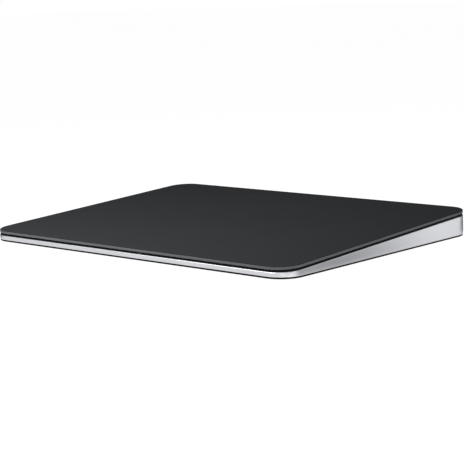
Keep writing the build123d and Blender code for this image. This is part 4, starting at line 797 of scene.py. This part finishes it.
def black_plastic(name, colour, roughness):
    """Moulded black plastic with a fine eroded texture."""
    return plain_finish(
        name, colour, roughness, grain=0.00012, depth=0.000004, blotch=0.004, shift=0.12,
        worn=times(colour, 2.4), wear_width=0.00008,
    ).material


def antenna_finish():
    """Dark carrier whose raised run along the top is bright copper."""
    made = plain_finish(
        "antenna carrier", tone(34, 35, 38), 0.5, grain=0.0001, depth=0.000003, blotch=0.004,
    )
    top, run_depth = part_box("antenna")[1].z, 0.00004
    height = add_node(made.tree, "SeparateXYZ", Vector=object_place(made.tree)).outputs["Z"]
    raised = made.calc("GREATER_THAN", height, top - run_depth)
    made.feed("Base Color", made.mixed(raised, made.base, tone(214, 150, 88)))
    made.feed("Metallic", made.calc("MULTIPLY", raised, 0.95))
    made.feed("Roughness", made.calc("SUBTRACT", made.gloss, made.calc("MULTIPLY", raised, 0.2)))
    return made.material


# Modelling helpers

def fresh_start():
    """Leave edit mode and select nothing."""
    if bpy.context.object and bpy.context.object.mode != "OBJECT":
        bpy.ops.object.mode_set(mode="OBJECT")
    bpy.ops.object.select_all(action="DESELECT")


def begin(name):
    """Name the primitive just added and put its place and size into its mesh."""
    piece = bpy.context.object
    piece.name = piece.data.name = name
    bpy.ops.object.transform_apply(location=True, rotation=True, scale=True)
    return piece


def pick(piece, kind, test=lambda item: True):
    """Select, in edit mode, only the faces or edges that pass the test, or all of them without one."""
    bpy.ops.object.mode_set(mode="EDIT")
    bpy.ops.mesh.select_mode(type=kind)
    bpy.ops.mesh.select_all(action="DESELECT")
    mesh = bmesh.from_edit_mesh(piece.data)
    for item in mesh.faces if kind == "FACE" else mesh.edges:
        item.select_set(test(item))
    mesh.select_flush_mode()
    bmesh.update_edit_mesh(piece.data)


def between(start, end, count):
    """Places from the start to the end, in equal steps."""
    return [start + (end - start) * step / count for step in range(count + 1)]


def cut_across(piece, axis, places, test=lambda face: True):
    """Cut the faces that pass the test by a plane across the axis at each place."""
    normal = Vector(int(index == axis) for index in range(3))
    for place in places:
        pick(piece, "FACE", test)
        bpy.ops.mesh.bisect(plane_co=normal * place, plane_no=normal)


def extrude_by(*step):
    """Extrude what is picked by a step along X, Y and Z."""
    bpy.ops.mesh.extrude_region_move(TRANSFORM_OT_translate={"value": step})


def apply_modifiers(piece):
    """Apply the piece's modifiers in their order."""
    bpy.ops.object.mode_set(mode="OBJECT")
    for modifier in list(piece.modifiers):
        bpy.ops.object.modifier_apply(modifier=modifier.name)


def soften(piece, width):
    """Round the sharper edges a little and shade the piece smooth between them."""
    bevel = piece.modifiers.new("soft edges", "BEVEL")
    bevel.width, bevel.segments, bevel.angle_limit = width, 2, radians(30)
    bevel.limit_method = "ANGLE"
    bevel.use_clamp_overlap = True
    apply_modifiers(piece)
    bpy.ops.object.shade_smooth_by_angle(angle=radians(40))


def own_copy(piece, move):
    """Copy of a piece, with its own mesh, moved by a step."""
    copy = piece.copy()
    copy.data = piece.data.copy()
    bpy.context.collection.objects.link(copy)
    copy.data.transform(Matrix.Translation(move))
    return copy


def discard(piece):
    """Delete a piece and its mesh."""
    mesh = piece.data
    bpy.data.objects.remove(piece)
    bpy.data.meshes.remove(mesh)


def joined(name, pieces):
    """Join pieces into one, which keeps each one's finish."""
    fresh_start()
    for piece in pieces:
        piece.select_set(True)
    bpy.context.view_layer.objects.active = pieces[0]
    bpy.ops.object.join()
    pieces[0].name = pieces[0].data.name = name
    return pieces[0]


def separate_solids(name):
    """Merged copy of each separate solid of a CAD node, with its flat faces whole again."""
    fresh_start()
    node = NODES[name]
    copy = bpy.data.objects.new("copy_of_" + name, node.data.copy())
    bpy.context.collection.objects.link(copy)
    copy.data.transform(node.matrix_world)
    copy.select_set(True)
    bpy.context.view_layer.objects.active = copy
    bpy.ops.object.mode_set(mode="EDIT")
    bpy.ops.mesh.customdata_custom_splitnormals_clear()
    bpy.ops.mesh.select_all(action="SELECT")
    bpy.ops.mesh.remove_doubles(threshold=SAME_POINT)
    bpy.ops.mesh.dissolve_limited(angle_limit=radians(1))
    bpy.ops.mesh.separate(type="LOOSE")
    bpy.ops.object.mode_set(mode="OBJECT")
    solids = list(bpy.context.selected_objects)
    return sorted(solids, key=lambda solid: tuple(mesh_box(solid)[0]))


def solid_boxes(name):
    """Lowest and highest corner of each separate solid of a CAD node."""
    boxes = []
    for part in separate_solids(name):
        boxes.append(mesh_box(part))
        discard(part)
    return boxes


def mesh_box(piece):
    """Lowest and highest corner of a mesh."""
    points = [piece.matrix_world @ v.co for v in piece.data.vertices]
    return tuple(Vector(least(p[axis] for p in points) for axis in range(3)) for least in (min, max))


def spread(name, first, boxes):
    """Copy a piece, each copy with its own mesh, to the middle of each box, and join the copies."""
    middle = sum(mesh_box(first), Vector()) / 2
    copies = [own_copy(first, (low + high) / 2 - middle) for low, high in boxes]
    discard(first)
    return joined(name, copies)


def require_closed(piece):
    """Stop if the piece has an open or doubled edge."""
    mesh = bmesh.new()
    mesh.from_mesh(piece.data)
    loose = sum(1 for edge in mesh.edges if len(edge.link_faces) != 2)
    mesh.free()
    if loose:
        raise RuntimeError(f"{piece.name} has {loose} edges without two faces")


def face_outward(piece):
    """Merge doubled points and turn every face of a piece of one shell outward."""
    bpy.ops.object.mode_set(mode="EDIT")
    bpy.ops.mesh.select_mode(type="VERT")
    bpy.ops.mesh.select_all(action="SELECT")
    bpy.ops.mesh.remove_doubles(threshold=SAME_POINT)
    bpy.ops.mesh.normals_make_consistent(inside=False)
    if bmesh.from_edit_mesh(piece.data).calc_volume(signed=True) < 0:
        bpy.ops.mesh.flip_normals()
    bpy.ops.object.mode_set(mode="OBJECT")
    require_closed(piece)


def stand_for(piece, node, body=None, material=None):
    """Let a piece take a CAD node's place, on the body given if any, in the finish given or its own."""
    if material:
        piece.data.materials.clear()
        piece.data.materials.append(material)
    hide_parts(node)
    if body:
        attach(piece, body)


def paint(material, *names):
    """New finish on CAD nodes, whose shapes stay as they are."""
    for name in names:
        for slot in NODES[name].material_slots:
            slot.material = material


# Pieces

class TRACKPAD_OT_housing(Operator):
    """Finish the aluminium housing"""
    bl_idname = "trackpad.housing"
    bl_label = "Housing"

    def execute(self, context):
        paint(blasted_aluminium(context.scene.trackpad_housing), "housing")
        return {"FINISHED"}


class TRACKPAD_OT_underside(Operator):
    """Finish the bottom cover and model the four rubber feet"""
    bl_idname = "trackpad.underside"
    bl_label = "Bottom cover and feet"

    def execute(self, context):
        settings = context.scene.trackpad_underside
        paint(cover_paint(settings), "bottom_cover")
        rubber = foot_rubber(settings)
        foot = self.model_foot(settings)
        for corner in CORNERS:
            node = "foot_" + corner
            piece = foot if corner == CORNERS[0] else own_copy(foot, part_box(node)[0] - FOOT_LOW)
            piece.name = piece.data.name = "rubber_" + node
            stand_for(piece, node, "base", rubber)
        return {"FINISHED"}

    def model_foot(self, settings):
        """Disc with a rounded lower edge, a shallow dish below and a fine ring round it."""
        fresh_start()
        sides, top_rim = 96, 0.0002
        radius, height = settings.foot_diameter / 2, FOOT_HIGH.z - FOOT_LOW.z
        middle = (FOOT_LOW + FOOT_HIGH) / 2
        bpy.ops.mesh.primitive_cylinder_add(vertices=sides, radius=radius, depth=height, location=middle)
        piece = begin("rubber_foot")
        pick(piece, "EDGE", lambda e: all(abs(v.co.z - FOOT_LOW.z) < SAME_POINT for v in e.verts))
        bpy.ops.mesh.bevel(offset=settings.foot_round, segments=5, affect="EDGES")
        for inset, lift in FOOT_RINGS:
            pick(piece, "FACE", lambda f: f.normal.z < -0.9 and len(f.verts) == sides)
            bpy.ops.mesh.inset(thickness=inset, depth=0.0)
            bpy.ops.transform.translate(value=(0, 0, lift))
        pick(piece, "FACE", lambda f: f.normal.z > 0.9 and len(f.verts) == sides)
        bpy.ops.mesh.inset(thickness=top_rim, depth=0.0)
        face_outward(piece)
        bpy.ops.object.shade_smooth_by_angle(angle=radians(35))
        return piece


class TRACKPAD_OT_touch_plate(Operator):
    """Finish the glass, its seal and the layers under it"""
    bl_idname = "trackpad.touch_plate"
    bl_label = "Touch plate"

    def execute(self, context):
        paint(etched_glass(context.scene.trackpad_glass), "touch_glass")
        paint(plain("seal rubber"), "rim_gasket")
        paint(adhesive_film(), "glass_adhesive", "battery_strips")
        # The sensor board's edge lies under the rim of the glass and is painted near black: painted shade in
        # the gap
        sensor_lacquer = circuit_lacquer("sensor board lacquer", 0.003, tone(16, 62, 44), SHADE_PAINTED_EDGE)
        paint(sensor_lacquer, "sensor_board")
        paint(rolled_steel("stiffener steel", tone(176, 176, 172)), "stiffener_plate")
        return {"FINISHED"}


class TRACKPAD_OT_force_beams(Operator):
    """Finish the sprung beams, their gauges and what is fixed to them, with the beams and gauges cut across
    along the neck
    """
    bl_idname = "trackpad.force_beams"
    bl_label = "Force beams"

    def execute(self, context):
        settings = context.scene.trackpad_beam
        steel = rolled_steel("spring steel", tone(150, 150, 148), 0.28)
        for corner in CORNERS:
            beam = separate_solids("force_beam_" + corner)[0]
            beam.name = beam.data.name = "sprung_beam_" + corner
            self.bend(settings, beam, "force_beam_" + corner, "plate_steel", steel)
        film = ribbon_film("gauge film", (0.0, 1.0, 0.0), 0.0002, 0.5)
        for index, gauge in enumerate(separate_solids("strain_gauges"), 1):
            gauge.name = gauge.data.name = f"bonded_gauge_{index}"
            self.bend(settings, gauge, "strain_gauges", "ribbon_film", film)
        paint(rolled_steel("tip plate steel", tone(182, 182, 178), 0.3, (1.0, 0.04, 1.0)), "tip_plates")
        paint(gel(), "gel_pads")
        paint(ribbon_film("harness film", (1.0, 1.0, 0.0), 0.0008, 0.4), "gauge_harness")
        return {"FINISHED"}

    def bend(self, settings, piece, node, slot, material):
        """Cut the piece across along the neck, from its root to its tip, and put it in its node's place in
        its finish.
        """
        side = 1 if mesh_box(piece)[0].x > 0 else -1
        bpy.context.view_layer.objects.active = piece
        start, end = side * settings.root_end, side * settings.tip_start
        cut_across(piece, 0, between(start, end, settings.bends))
        face_outward(piece)
        bpy.ops.object.shade_smooth_by_angle(angle=radians(30))
        stand_for(piece, node, material=material)
        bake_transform(piece)


class TRACKPAD_OT_haptic_engine(Operator):
    """Finish the tray, cores, coils and armature that shake the plate"""
    bl_idname = "trackpad.haptic_engine"
    bl_label = "Haptic engine"

    def execute(self, context):
        paint(rolled_steel("tray steel", tone(168, 168, 164), 0.36), "haptic_tray")
        paint(core_iron(), "haptic_core_left", "haptic_core_right", "haptic_armature")
        boxes = solid_boxes("haptic_coils")
        coil = self.model_coil(context.scene.trackpad_winding, boxes[0])
        stand_for(spread("haptic_windings", coil, boxes), "haptic_coils", "base")
        return {"FINISHED"}

    def model_coil(self, settings, box):
        """Layer of wire turns, wound on the layers under it between two cheeks."""
        low, high = box
        middle, size = (low + high) / 2, high - low
        spacing = 1.02
        wire, cheek = settings.wire, settings.cheek
        bore = (settings.bore_width, settings.bore_height)
        across, up = size.y / 2 - wire / 2, size.z / 2 - wire / 2
        pitch = wire * spacing
        count = int((size.x - 2 * cheek) / pitch)
        start = middle.x - (count - 1) * pitch / 2
        copper = enamelled_copper()
        turns = self.model_turn(wire, Vector((start, middle.y, middle.z)), across, up)
        array = turns.modifiers.new("turns", "ARRAY")
        array.count, array.use_relative_offset, array.use_constant_offset = count, False, True
        array.constant_offset_displace = (pitch, 0, 0)
        apply_modifiers(turns)
        turns.data.materials.append(copper)
        inner = self.model_sleeve((low.x + cheek, high.x - cheek), middle, (2 * across, 2 * up), bore)
        inner.data.materials.append(copper)
        plastic = black_plastic("cheek plastic", tone(40, 38, 36), 0.42)
        pieces = [turns, inner]
        for x in (low.x, high.x - cheek):
            plate = self.model_sleeve((x, x + cheek), middle, (size.y, size.z), bore)
            plate.data.materials.append(plastic)
            pieces.append(plate)
        return joined("haptic_winding", pieces)

    def model_turn(self, wire, middle, across, up):
        """One closed turn of wire, drawn out along its sides and spun round its corners."""
        fresh_start()
        reach, rise = across - wire, up - wire
        bpy.ops.mesh.primitive_circle_add(
            vertices=6, radius=wire / 2, rotation=(pi / 2, 0, 0), location=middle + Vector((0, -reach, up)),
        )
        turn = begin("wire_turn")
        pick(turn, "EDGE")
        for step, corner in (
            ((0, 2 * reach, 0), (reach, rise)), ((0, 0, -2 * rise), (reach, -rise)),
            ((0, -2 * reach, 0), (-reach, -rise)), ((0, 0, 2 * rise), (-reach, rise)),
        ):
            extrude_by(*step)
            centre = middle + Vector((0, *corner))
            bpy.ops.mesh.spin(steps=3, angle=pi / 2, center=centre, axis=(-1, 0, 0))
        face_outward(turn)
        bpy.ops.object.shade_smooth()
        return turn

    def model_sleeve(self, ends, middle, outer, bore):
        """Rectangular sleeve with a rectangular bore, along X."""
        fresh_start()
        place = (ends[0], middle.y, middle.z)
        bpy.ops.mesh.primitive_plane_add(size=1, location=place, rotation=(0, pi / 2, 0))
        bpy.context.object.scale = (outer[1], outer[0], 1)
        sleeve = begin("sleeve")
        pick(sleeve, "FACE")
        rim = min(outer) / 10
        bpy.ops.mesh.inset(thickness=rim, depth=0.0)
        shrink = (1, bore[0] / (outer[0] - 2 * rim), bore[1] / (outer[1] - 2 * rim))
        bpy.ops.transform.resize(value=shrink, center_override=place)
        bpy.ops.mesh.delete(type="ONLY_FACE")
        bpy.ops.mesh.select_all(action="SELECT")
        extrude_by(ends[1] - ends[0], 0, 0)
        face_outward(sleeve)
        return sleeve


class TRACKPAD_OT_battery(Operator):
    """Finish the battery and what is fixed to it"""
    bl_idname = "trackpad.battery"
    bl_label = "Battery"

    def execute(self, context):
        paint(pouch_foil(), "battery_cell")
        paint(plain("amber tape"), "battery_tape")
        return {"FINISHED"}


class TRACKPAD_OT_boards(Operator):
    """Finish the circuit boards and the parts on them"""
    bl_idname = "trackpad.boards"
    bl_label = "Circuit boards"

    def execute(self, context):
        paint(
            circuit_lacquer("board lacquer"), "main_board", "port_board", "switch_board",
            "battery_guard_board",
        )
        paint(plain("chip plastic"), "processor", "board_chips", "touch_controller")
        finishes = (plain("capacitor ceramic"), plain("tinned ends"))
        for node, tilt, body in (
            ("board_capacitors", 0, "base"), ("sensor_passives", DECK_TILT, "touch_plate"),
        ):
            boxes = solid_boxes(node)
            first = self.model_capacitor(context.scene.trackpad_capacitor, boxes[0], tilt, finishes)
            stand_for(spread("soldered_" + node, first, boxes), node, body)
        paint(plain("connector plastic"), "board_connectors", "sensor_connector")
        paint(tinned_steel(), "shield_can")
        paint(antenna_finish(), "antenna")
        paint(black_plastic("lead jacket", tone(44, 44, 46), 0.4), "antenna_lead")
        return {"FINISHED"}

    def model_capacitor(self, settings, box, tilt, finishes):
        """Ceramic block between two slightly thicker tinned ends, at its board's tilt."""
        fresh_start()
        length, deep, high = box[1] - box[0]
        wide = (deep - high * sin(tilt)) / cos(tilt)
        high = (high - wide * sin(tilt)) / cos(tilt)
        bpy.ops.mesh.primitive_cube_add(size=1, scale=(length, wide, high))
        piece = begin("soldered_capacitor")
        waist, step = length * (0.5 - settings.end_share), length / 50
        cut_across(piece, 0, (-waist - step, -waist, waist, waist + step))
        pick(piece, "EDGE", lambda e: all(abs(v.co.x) < waist + step / 2 for v in e.verts))
        bpy.ops.transform.resize(value=(1, settings.waist, settings.waist), center_override=(0, 0, 0))
        soften(piece, step)
        for finish in finishes:
            piece.data.materials.append(finish)
        for face in piece.data.polygons:
            face.material_index = int(abs(face.center.x) > waist + step / 4)
        piece.data.transform(Matrix.Rotation(tilt, 4, "X"))
        require_closed(piece)
        return piece


class TRACKPAD_OT_ribbons(Operator):
    """Finish the flat ribbons, and cut the one that follows the touch plate across at even heights"""
    bl_idname = "trackpad.ribbons"
    bl_label = "Ribbons"

    def execute(self, context):
        paint(ribbon_film("lengthways ribbon", (0.0, 1.0, 0.0)), "battery_ribbon", "switch_ribbon")
        film = ribbon_film("crossways ribbon", (1.0, 0.0, 0.0))
        paint(film, "haptic_ribbon", "port_ribbon")
        ribbon = separate_solids("touch_ribbon")[0]
        ribbon.name = ribbon.data.name = "folded_touch_ribbon"
        low, high = mesh_box(ribbon)
        folds = 12
        cut_across(ribbon, 2, between(low.z, high.z, folds)[1:-1])
        face_outward(ribbon)
        bpy.ops.object.shade_smooth_by_angle(angle=radians(40))
        stand_for(ribbon, "touch_ribbon", material=film)
        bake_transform(ribbon)
        return {"FINISHED"}


class TRACKPAD_OT_charging_socket(Operator):
    """Finish the charging socket"""
    bl_idname = "trackpad.charging_socket"
    bl_label = "Charging socket"

    def execute(self, context):
        paint(rolled_steel("drawn sleeve steel", tone(196, 197, 200), 0.2, (1.0, 0.04, 1.0)), "port_sleeve")
        paint(rolled_steel("bracket steel", tone(176, 176, 174), 0.3), "port_bracket")
        paint(black_plastic("tongue plastic", tone(22, 22, 24), 0.4), "port_tongue")
        paint(plain("contact gold"), "port_contacts")
        return {"FINISHED"}


class TRACKPAD_OT_power_switch(Operator):
    """Model the finger piece and finish the power switch"""
    bl_idname = "trackpad.power_switch"
    bl_label = "Power switch"

    def execute(self, context):
        knob = self.model_knob(context.scene.trackpad_knob)
        metal = rolled_steel(
            "brushed knob aluminium", tone(206, 208, 212), 0.34, (1.0, 1.0, 0.06), tone(240, 241, 243),
        )
        stand_for(knob, "switch_knob", "power_switch", metal)
        paint(black_plastic("switch plastic", tone(34, 34, 36), 0.45), "switch_carriage", "switch_block")
        paint(plain("marking green"), "switch_indicator")
        return {"FINISHED"}

    def model_knob(self, settings):
        """Rounded finger piece with sunk grooves and a soft rim."""
        fresh_start()
        corner, rim, softness = 0.0005, 0.00028, 0.00004
        pitch, width = 0.0008, 0.00025
        low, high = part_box("switch_knob")
        size, middle = high - low, (low + high) / 2
        bpy.ops.mesh.primitive_cube_add(size=1, location=middle, scale=size)
        piece = begin("switch_finger_piece")
        pick(piece, "EDGE", lambda e: abs((e.verts[0].co - e.verts[1].co).normalized().y) > 0.9)
        bpy.ops.mesh.bevel(offset=corner, segments=6, affect="EDGES")
        pick(piece, "FACE", lambda f: f.normal.y > 0.9)
        bpy.ops.mesh.inset(thickness=rim, depth=0.0)
        first = middle.x - (settings.groove_count - 1) / 2 * pitch
        centres = [first + index * pitch for index in range(settings.groove_count)]
        sides = sorted(x + side * width / 2 for x in centres for side in (-1, 1))
        cut_across(piece, 0, sides, lambda f: f.normal.y > 0.9)
        inner = size.z / 2 - rim

        def in_groove(face):
            at = face.calc_center_median()
            return (
                face.normal.y > 0.9 and abs(at.z - middle.z) < inner / 2
                and any(abs(at.x - x) < width / 4 for x in centres)
            )

        pick(piece, "FACE", in_groove)
        extrude_by(0, -settings.groove_depth, 0)
        face_outward(piece)
        soften(piece, softness)
        return piece


class TRACKPAD_OT_screws(Operator):
    """Model the small screws with their star drives and threads"""
    bl_idname = "trackpad.screws"
    bl_label = "Screws"

    def execute(self, context):
        settings = context.scene.trackpad_screw
        steel = plain("turned screw steel")
        for node, body in (HEADS_UP | HEADS_DOWN).items():
            boxes = solid_boxes(node)
            tilt = DECK_TILT if node in HEADS_DOWN else 0
            lean = (settings.head_width + settings.thread_width) / 2 * sin(tilt)
            length = (boxes[0][1].z - boxes[0][0].z - lean) / cos(tilt)
            first = self.model_screw(settings, length)
            if tilt:
                first.data.transform(Matrix.Rotation(pi + tilt, 4, "X"))
            first.data.materials.append(steel)
            stand_for(spread("threaded_" + node, first, boxes), node, body)
        return {"FINISHED"}

    def model_screw(self, settings, length):
        """Screw with a rounded head at the top, a star drive and rings of thread."""
        fresh_start()
        sides, least_neck, tip = 24, 0.0001, 0.00012
        rounding_share, notch_share, root_share, tip_share = 0.4, 0.74, 0.78, 0.72
        head, height = settings.head_width / 2, settings.head_height
        drive, crest = settings.drive_width / 2, settings.thread_width / 2
        bpy.ops.mesh.primitive_cylinder_add(
            vertices=sides, radius=head, depth=height, location=(0, 0, -height / 2),
        )
        screw = begin("threaded_screw")
        pick(screw, "EDGE", lambda e: all(v.co.z > -SAME_POINT for v in e.verts))
        rounding = height * rounding_share
        bpy.ops.mesh.bevel(offset=rounding, segments=3, affect="EDGES")
        pick(screw, "FACE", lambda f: f.normal.z > 0.99 and len(f.verts) == sides)
        bpy.ops.mesh.inset(thickness=head - rounding - drive, depth=0.0)
        extrude_by(0, 0, -settings.drive_depth)

        def in_notch(edge):
            at = (edge.verts[0].co + edge.verts[1].co) / 2
            turn = atan2(at.y, at.x) * sides / (2 * pi)
            upright = abs(edge.verts[0].co.z - edge.verts[1].co.z) > settings.drive_depth / 2
            return upright and at.z > -height and hypot(at.x, at.y) < drive * 1.01 and round(turn) % 4 < 2

        pick(screw, "EDGE", in_notch)
        bpy.ops.transform.resize(value=(notch_share, notch_share, 1), center_override=(0, 0, 0))
        pick(screw, "FACE", lambda f: f.normal.z < -0.99 and f.calc_center_median().z < -height * 0.9)
        bpy.ops.mesh.inset(thickness=head - crest, depth=0.0)
        pitch = settings.thread_pitch
        rings = int((length - height - least_neck - tip) / pitch)
        self.draw_down(length - height - tip - rings * pitch, 1)
        for _ in range(rings):
            self.draw_down(pitch / 2, root_share)
            self.draw_down(pitch / 2, 1 / root_share)
        self.draw_down(tip, tip_share)
        face_outward(screw)
        bpy.ops.object.shade_smooth_by_angle(angle=radians(35))
        return screw

    def draw_down(self, depth, share):
        """Draw the picked face down by a depth and change its width by a share."""
        extrude_by(0, 0, -depth)
        if share != 1:
            bpy.ops.transform.resize(value=(share, share, 1), center_override=(0, 0, 0))


# Where each lamp hangs, and how wide it is
LAMPS = {
    "key": ((-0.05, -0.2, 0.16), 0.2), "side": ((0.4, -0.1, 0.012), 0.2),
    "fill": ((0.5, -0.55, 0.16), 0.3), "rear": ((0.38, 0.42, 0.1), 0.3), "under": ((0.0, 0.0, -0.3), 0.1),
}
# Where each card stands, its width and height, its turn, its grey, and the stretch that doesn't fade
CARDS = {
    "side_card": ((0.0992, -0.007, 0.037), (0.106, 0.08), 0, 0.5, (0.0, 0.28)),
    "rear_corner_card": ((0.067, 0.0727, 0.0279), (0.034, 0.06), pi / 2, 0.03, (0.0, 0.3)),
    "left_corner_card": ((-0.0957, -0.043, 0.0279), (0.034, 0.06), pi, 0.03, (0.7, 1.0)),
}


class TRACKPAD_OT_stage(Operator):
    """Set the pale floor, the lamps and the camera"""
    bl_idname = "trackpad.stage"
    bl_label = "Stage and camera"

    def execute(self, context):
        settings = context.scene.trackpad_stage
        self.lay_floor()
        self.light_surround(context.scene, settings)
        for name, (place, size) in LAMPS.items():
            lamp = self.hang_lamp(name, place, size, settings)
            if name == "under":
                self.keep_below(lamp)
        for name, card in CARDS.items():
            self.stand_card(name, *card)
        self.place_camera(context.scene, settings)
        context.scene.view_settings.view_transform = "Standard"
        return {"FINISHED"}

    def lay_floor(self):
        """Pale floor that keeps the shadow, shows white, and can be seen through from below."""
        fresh_start()
        bpy.ops.mesh.primitive_plane_add(size=12, location=(0, 0, 0))
        floor = begin("pale_floor")
        material = bpy.data.materials.new("pale floor")
        material.use_nodes = True
        tree = material.node_tree
        tree.nodes.clear()
        grain = add_node(tree, "TexNoise", Vector=object_place(tree), Scale=40.0, Detail=2.0).outputs["Fac"]
        matt = add_node(tree, "BsdfDiffuse", Color=mixed(tree, grain, (0.19, 0.19, 0.19), (0.21, 0.21, 0.21)))
        glow = add_node(tree, "Emission", Color=(1.0, 1.0, 1.0), Strength=self.seen(tree, 0.98, 0.0))
        both = add_node(tree, "AddShader")
        tree.links.new(matt.outputs[0], both.inputs[0])
        tree.links.new(glow.outputs[0], both.inputs[1])
        below = add_node(tree, "MixShader", Fac=add_node(tree, "NewGeometry").outputs["Backfacing"])
        tree.links.new(both.outputs[0], below.inputs[1])
        tree.links.new(add_node(tree, "BsdfTransparent").outputs[0], below.inputs[2])
        output = add_node(tree, "OutputMaterial")
        tree.links.new(below.outputs[0], output.inputs["Surface"])
        floor.data.materials.append(material)

    def seen(self, tree, shown, hidden):
        """One value for what the camera, reflections and glass see, another for the light that falls."""
        path = add_node(tree, "LightPath").outputs
        mask = calc(tree, "MAXIMUM", path["Is Camera Ray"], path["Is Glossy Ray"])
        mask = calc(tree, "MAXIMUM", mask, path["Is Transmission Ray"])
        return span(tree, mask, 0.0, 1.0, hidden, shown)

    def light_surround(self, scene, settings):
        """Faint even light from all round, in front of white."""
        world = bpy.data.worlds.new("pale surround")
        scene.world = world
        world.use_nodes = True
        tree = world.node_tree
        background = tree.nodes["Background"]
        feed(tree, (1, 1, 1), background.inputs["Color"])
        feed(tree, self.seen(tree, 1.0, settings.surround), background.inputs["Strength"])
        world.cycles.sampling_method = "NONE"

    def hang_lamp(self, name, place, size, settings):
        """Round lamp that the camera doesn't see, turned to the target."""
        fresh_start()
        bpy.ops.object.light_add(type="AREA", location=place)
        lamp = bpy.context.object
        lamp.name = lamp.data.name = name + " lamp"
        lamp.data.shape = "DISK"
        lamp.data.size = size
        lamp.data.energy = getattr(settings, name + "_power")
        lamp.visible_camera = False
        lamp.rotation_euler = (Vector(settings.target) - Vector(place)).to_track_quat("-Z", "Y").to_euler()
        return lamp

    def keep_below(self, lamp):
        """Let the lamp under the floor reach the cover and the feet alone, for views from below."""
        lit = bpy.data.collections.new("lit from below")
        for piece in bpy.data.objects:
            if piece.name == "bottom_cover" or piece.name.startswith("rubber_foot"):
                lit.objects.link(piece)
        lamp.light_linking.receiver_collection = lamp.light_linking.blocker_collection = lit

    def stand_card(self, name, place, size, turn, grey, solid):
        """Leaning grey card that only reflections see, and that fades out past its solid stretch."""
        fresh_start()
        lean = radians(114)
        bpy.ops.mesh.primitive_plane_add(size=1, location=place, rotation=(0, lean, turn))
        card = bpy.context.object
        card.scale = (size[1], size[0], 1)
        card = begin(name)
        card.visible_camera = card.visible_shadow = card.visible_diffuse = card.visible_transmission = False
        made = Finish("grey card", Base_Color=(grey, grey, grey), Roughness=0.9)
        place = add_node(made.tree, "TexCoord").outputs["UV"]
        along = add_node(made.tree, "SeparateXYZ", Vector=place).outputs["Y"]
        start = span(made.tree, along, -0.001, solid[0], smooth=True)
        end = span(made.tree, along, solid[1], 1.001, 1.0, 0.0, smooth=True)
        made.feed("Alpha", made.calc("MULTIPLY", start, end))
        card.data.materials.append(made.material)

    def place_camera(self, scene, settings):
        """Camera at the photograph's angle, turned, raised and leaned about its target."""
        fresh_start()
        bpy.ops.object.camera_add()
        camera = bpy.context.object
        camera.name = camera.data.name = "photo camera"
        turn, rise, lean = settings.azimuth, settings.elevation, settings.roll
        back = Vector((sin(turn) * cos(rise), -cos(turn) * cos(rise), sin(rise)))
        right = Vector((cos(turn), sin(turn), 0))
        up = back.cross(right)
        leaned = Matrix((cos(lean) * right + sin(lean) * up, -sin(lean) * right + cos(lean) * up, back))
        eye = Vector(settings.target) + back * settings.distance
        camera.matrix_world = Matrix.Translation(eye) @ leaned.transposed().to_4x4()
        camera.data.lens = settings.lens
        camera.data.sensor_width = 36
        camera.data.clip_start, camera.data.clip_end = 0.01, 50
        scene.camera = camera


PIECE_OPERATORS = (
    TRACKPAD_OT_housing, TRACKPAD_OT_underside, TRACKPAD_OT_touch_plate, TRACKPAD_OT_force_beams,
    TRACKPAD_OT_haptic_engine, TRACKPAD_OT_battery, TRACKPAD_OT_boards, TRACKPAD_OT_ribbons,
    TRACKPAD_OT_charging_socket, TRACKPAD_OT_power_switch, TRACKPAD_OT_screws, TRACKPAD_OT_stage,
)
SETTINGS = {
    "trackpad_housing": TRACKPAD_PG_housing, "trackpad_glass": TRACKPAD_PG_glass,
    "trackpad_underside": TRACKPAD_PG_underside, "trackpad_knob": TRACKPAD_PG_knob,
    "trackpad_beam": TRACKPAD_PG_beam, "trackpad_screw": TRACKPAD_PG_screw,
    "trackpad_winding": TRACKPAD_PG_winding, "trackpad_capacitor": TRACKPAD_PG_capacitor,
    "trackpad_stage": TRACKPAD_PG_stage,
}


class TRACKPAD_PT_pieces(Panel):
    """Lists the pieces of the trackpad and their settings"""
    bl_idname = "TRACKPAD_PT_pieces"
    bl_label = "Trackpad"
    bl_space_type = "VIEW_3D"
    bl_region_type = "UI"
    bl_category = "Trackpad"

    def draw(self, context):
        for name, kind in SETTINGS.items():
            box = self.layout.box()
            group = getattr(context.scene, name)
            for key in kind.__annotations__:
                box.prop(group, key)
        for kind in PIECE_OPERATORS:
            self.layout.operator(kind.bl_idname)


CLASSES = (*SETTINGS.values(), *PIECE_OPERATORS, TRACKPAD_PT_pieces)


def register():
    for kind in CLASSES:
        bpy.utils.register_class(kind)
    for name, kind in SETTINGS.items():
        setattr(bpy.types.Scene, name, PointerProperty(type=kind))


def unregister():
    for name in SETTINGS:
        delattr(bpy.types.Scene, name)
    for kind in reversed(CLASSES):
        bpy.utils.unregister_class(kind)


def main():
    register()
    for kind in PIECE_OPERATORS:
        group, name = kind.bl_idname.split(".")
        getattr(getattr(bpy.ops, group), name)()
    fresh_start()


if __name__ == "__main__":
    main()
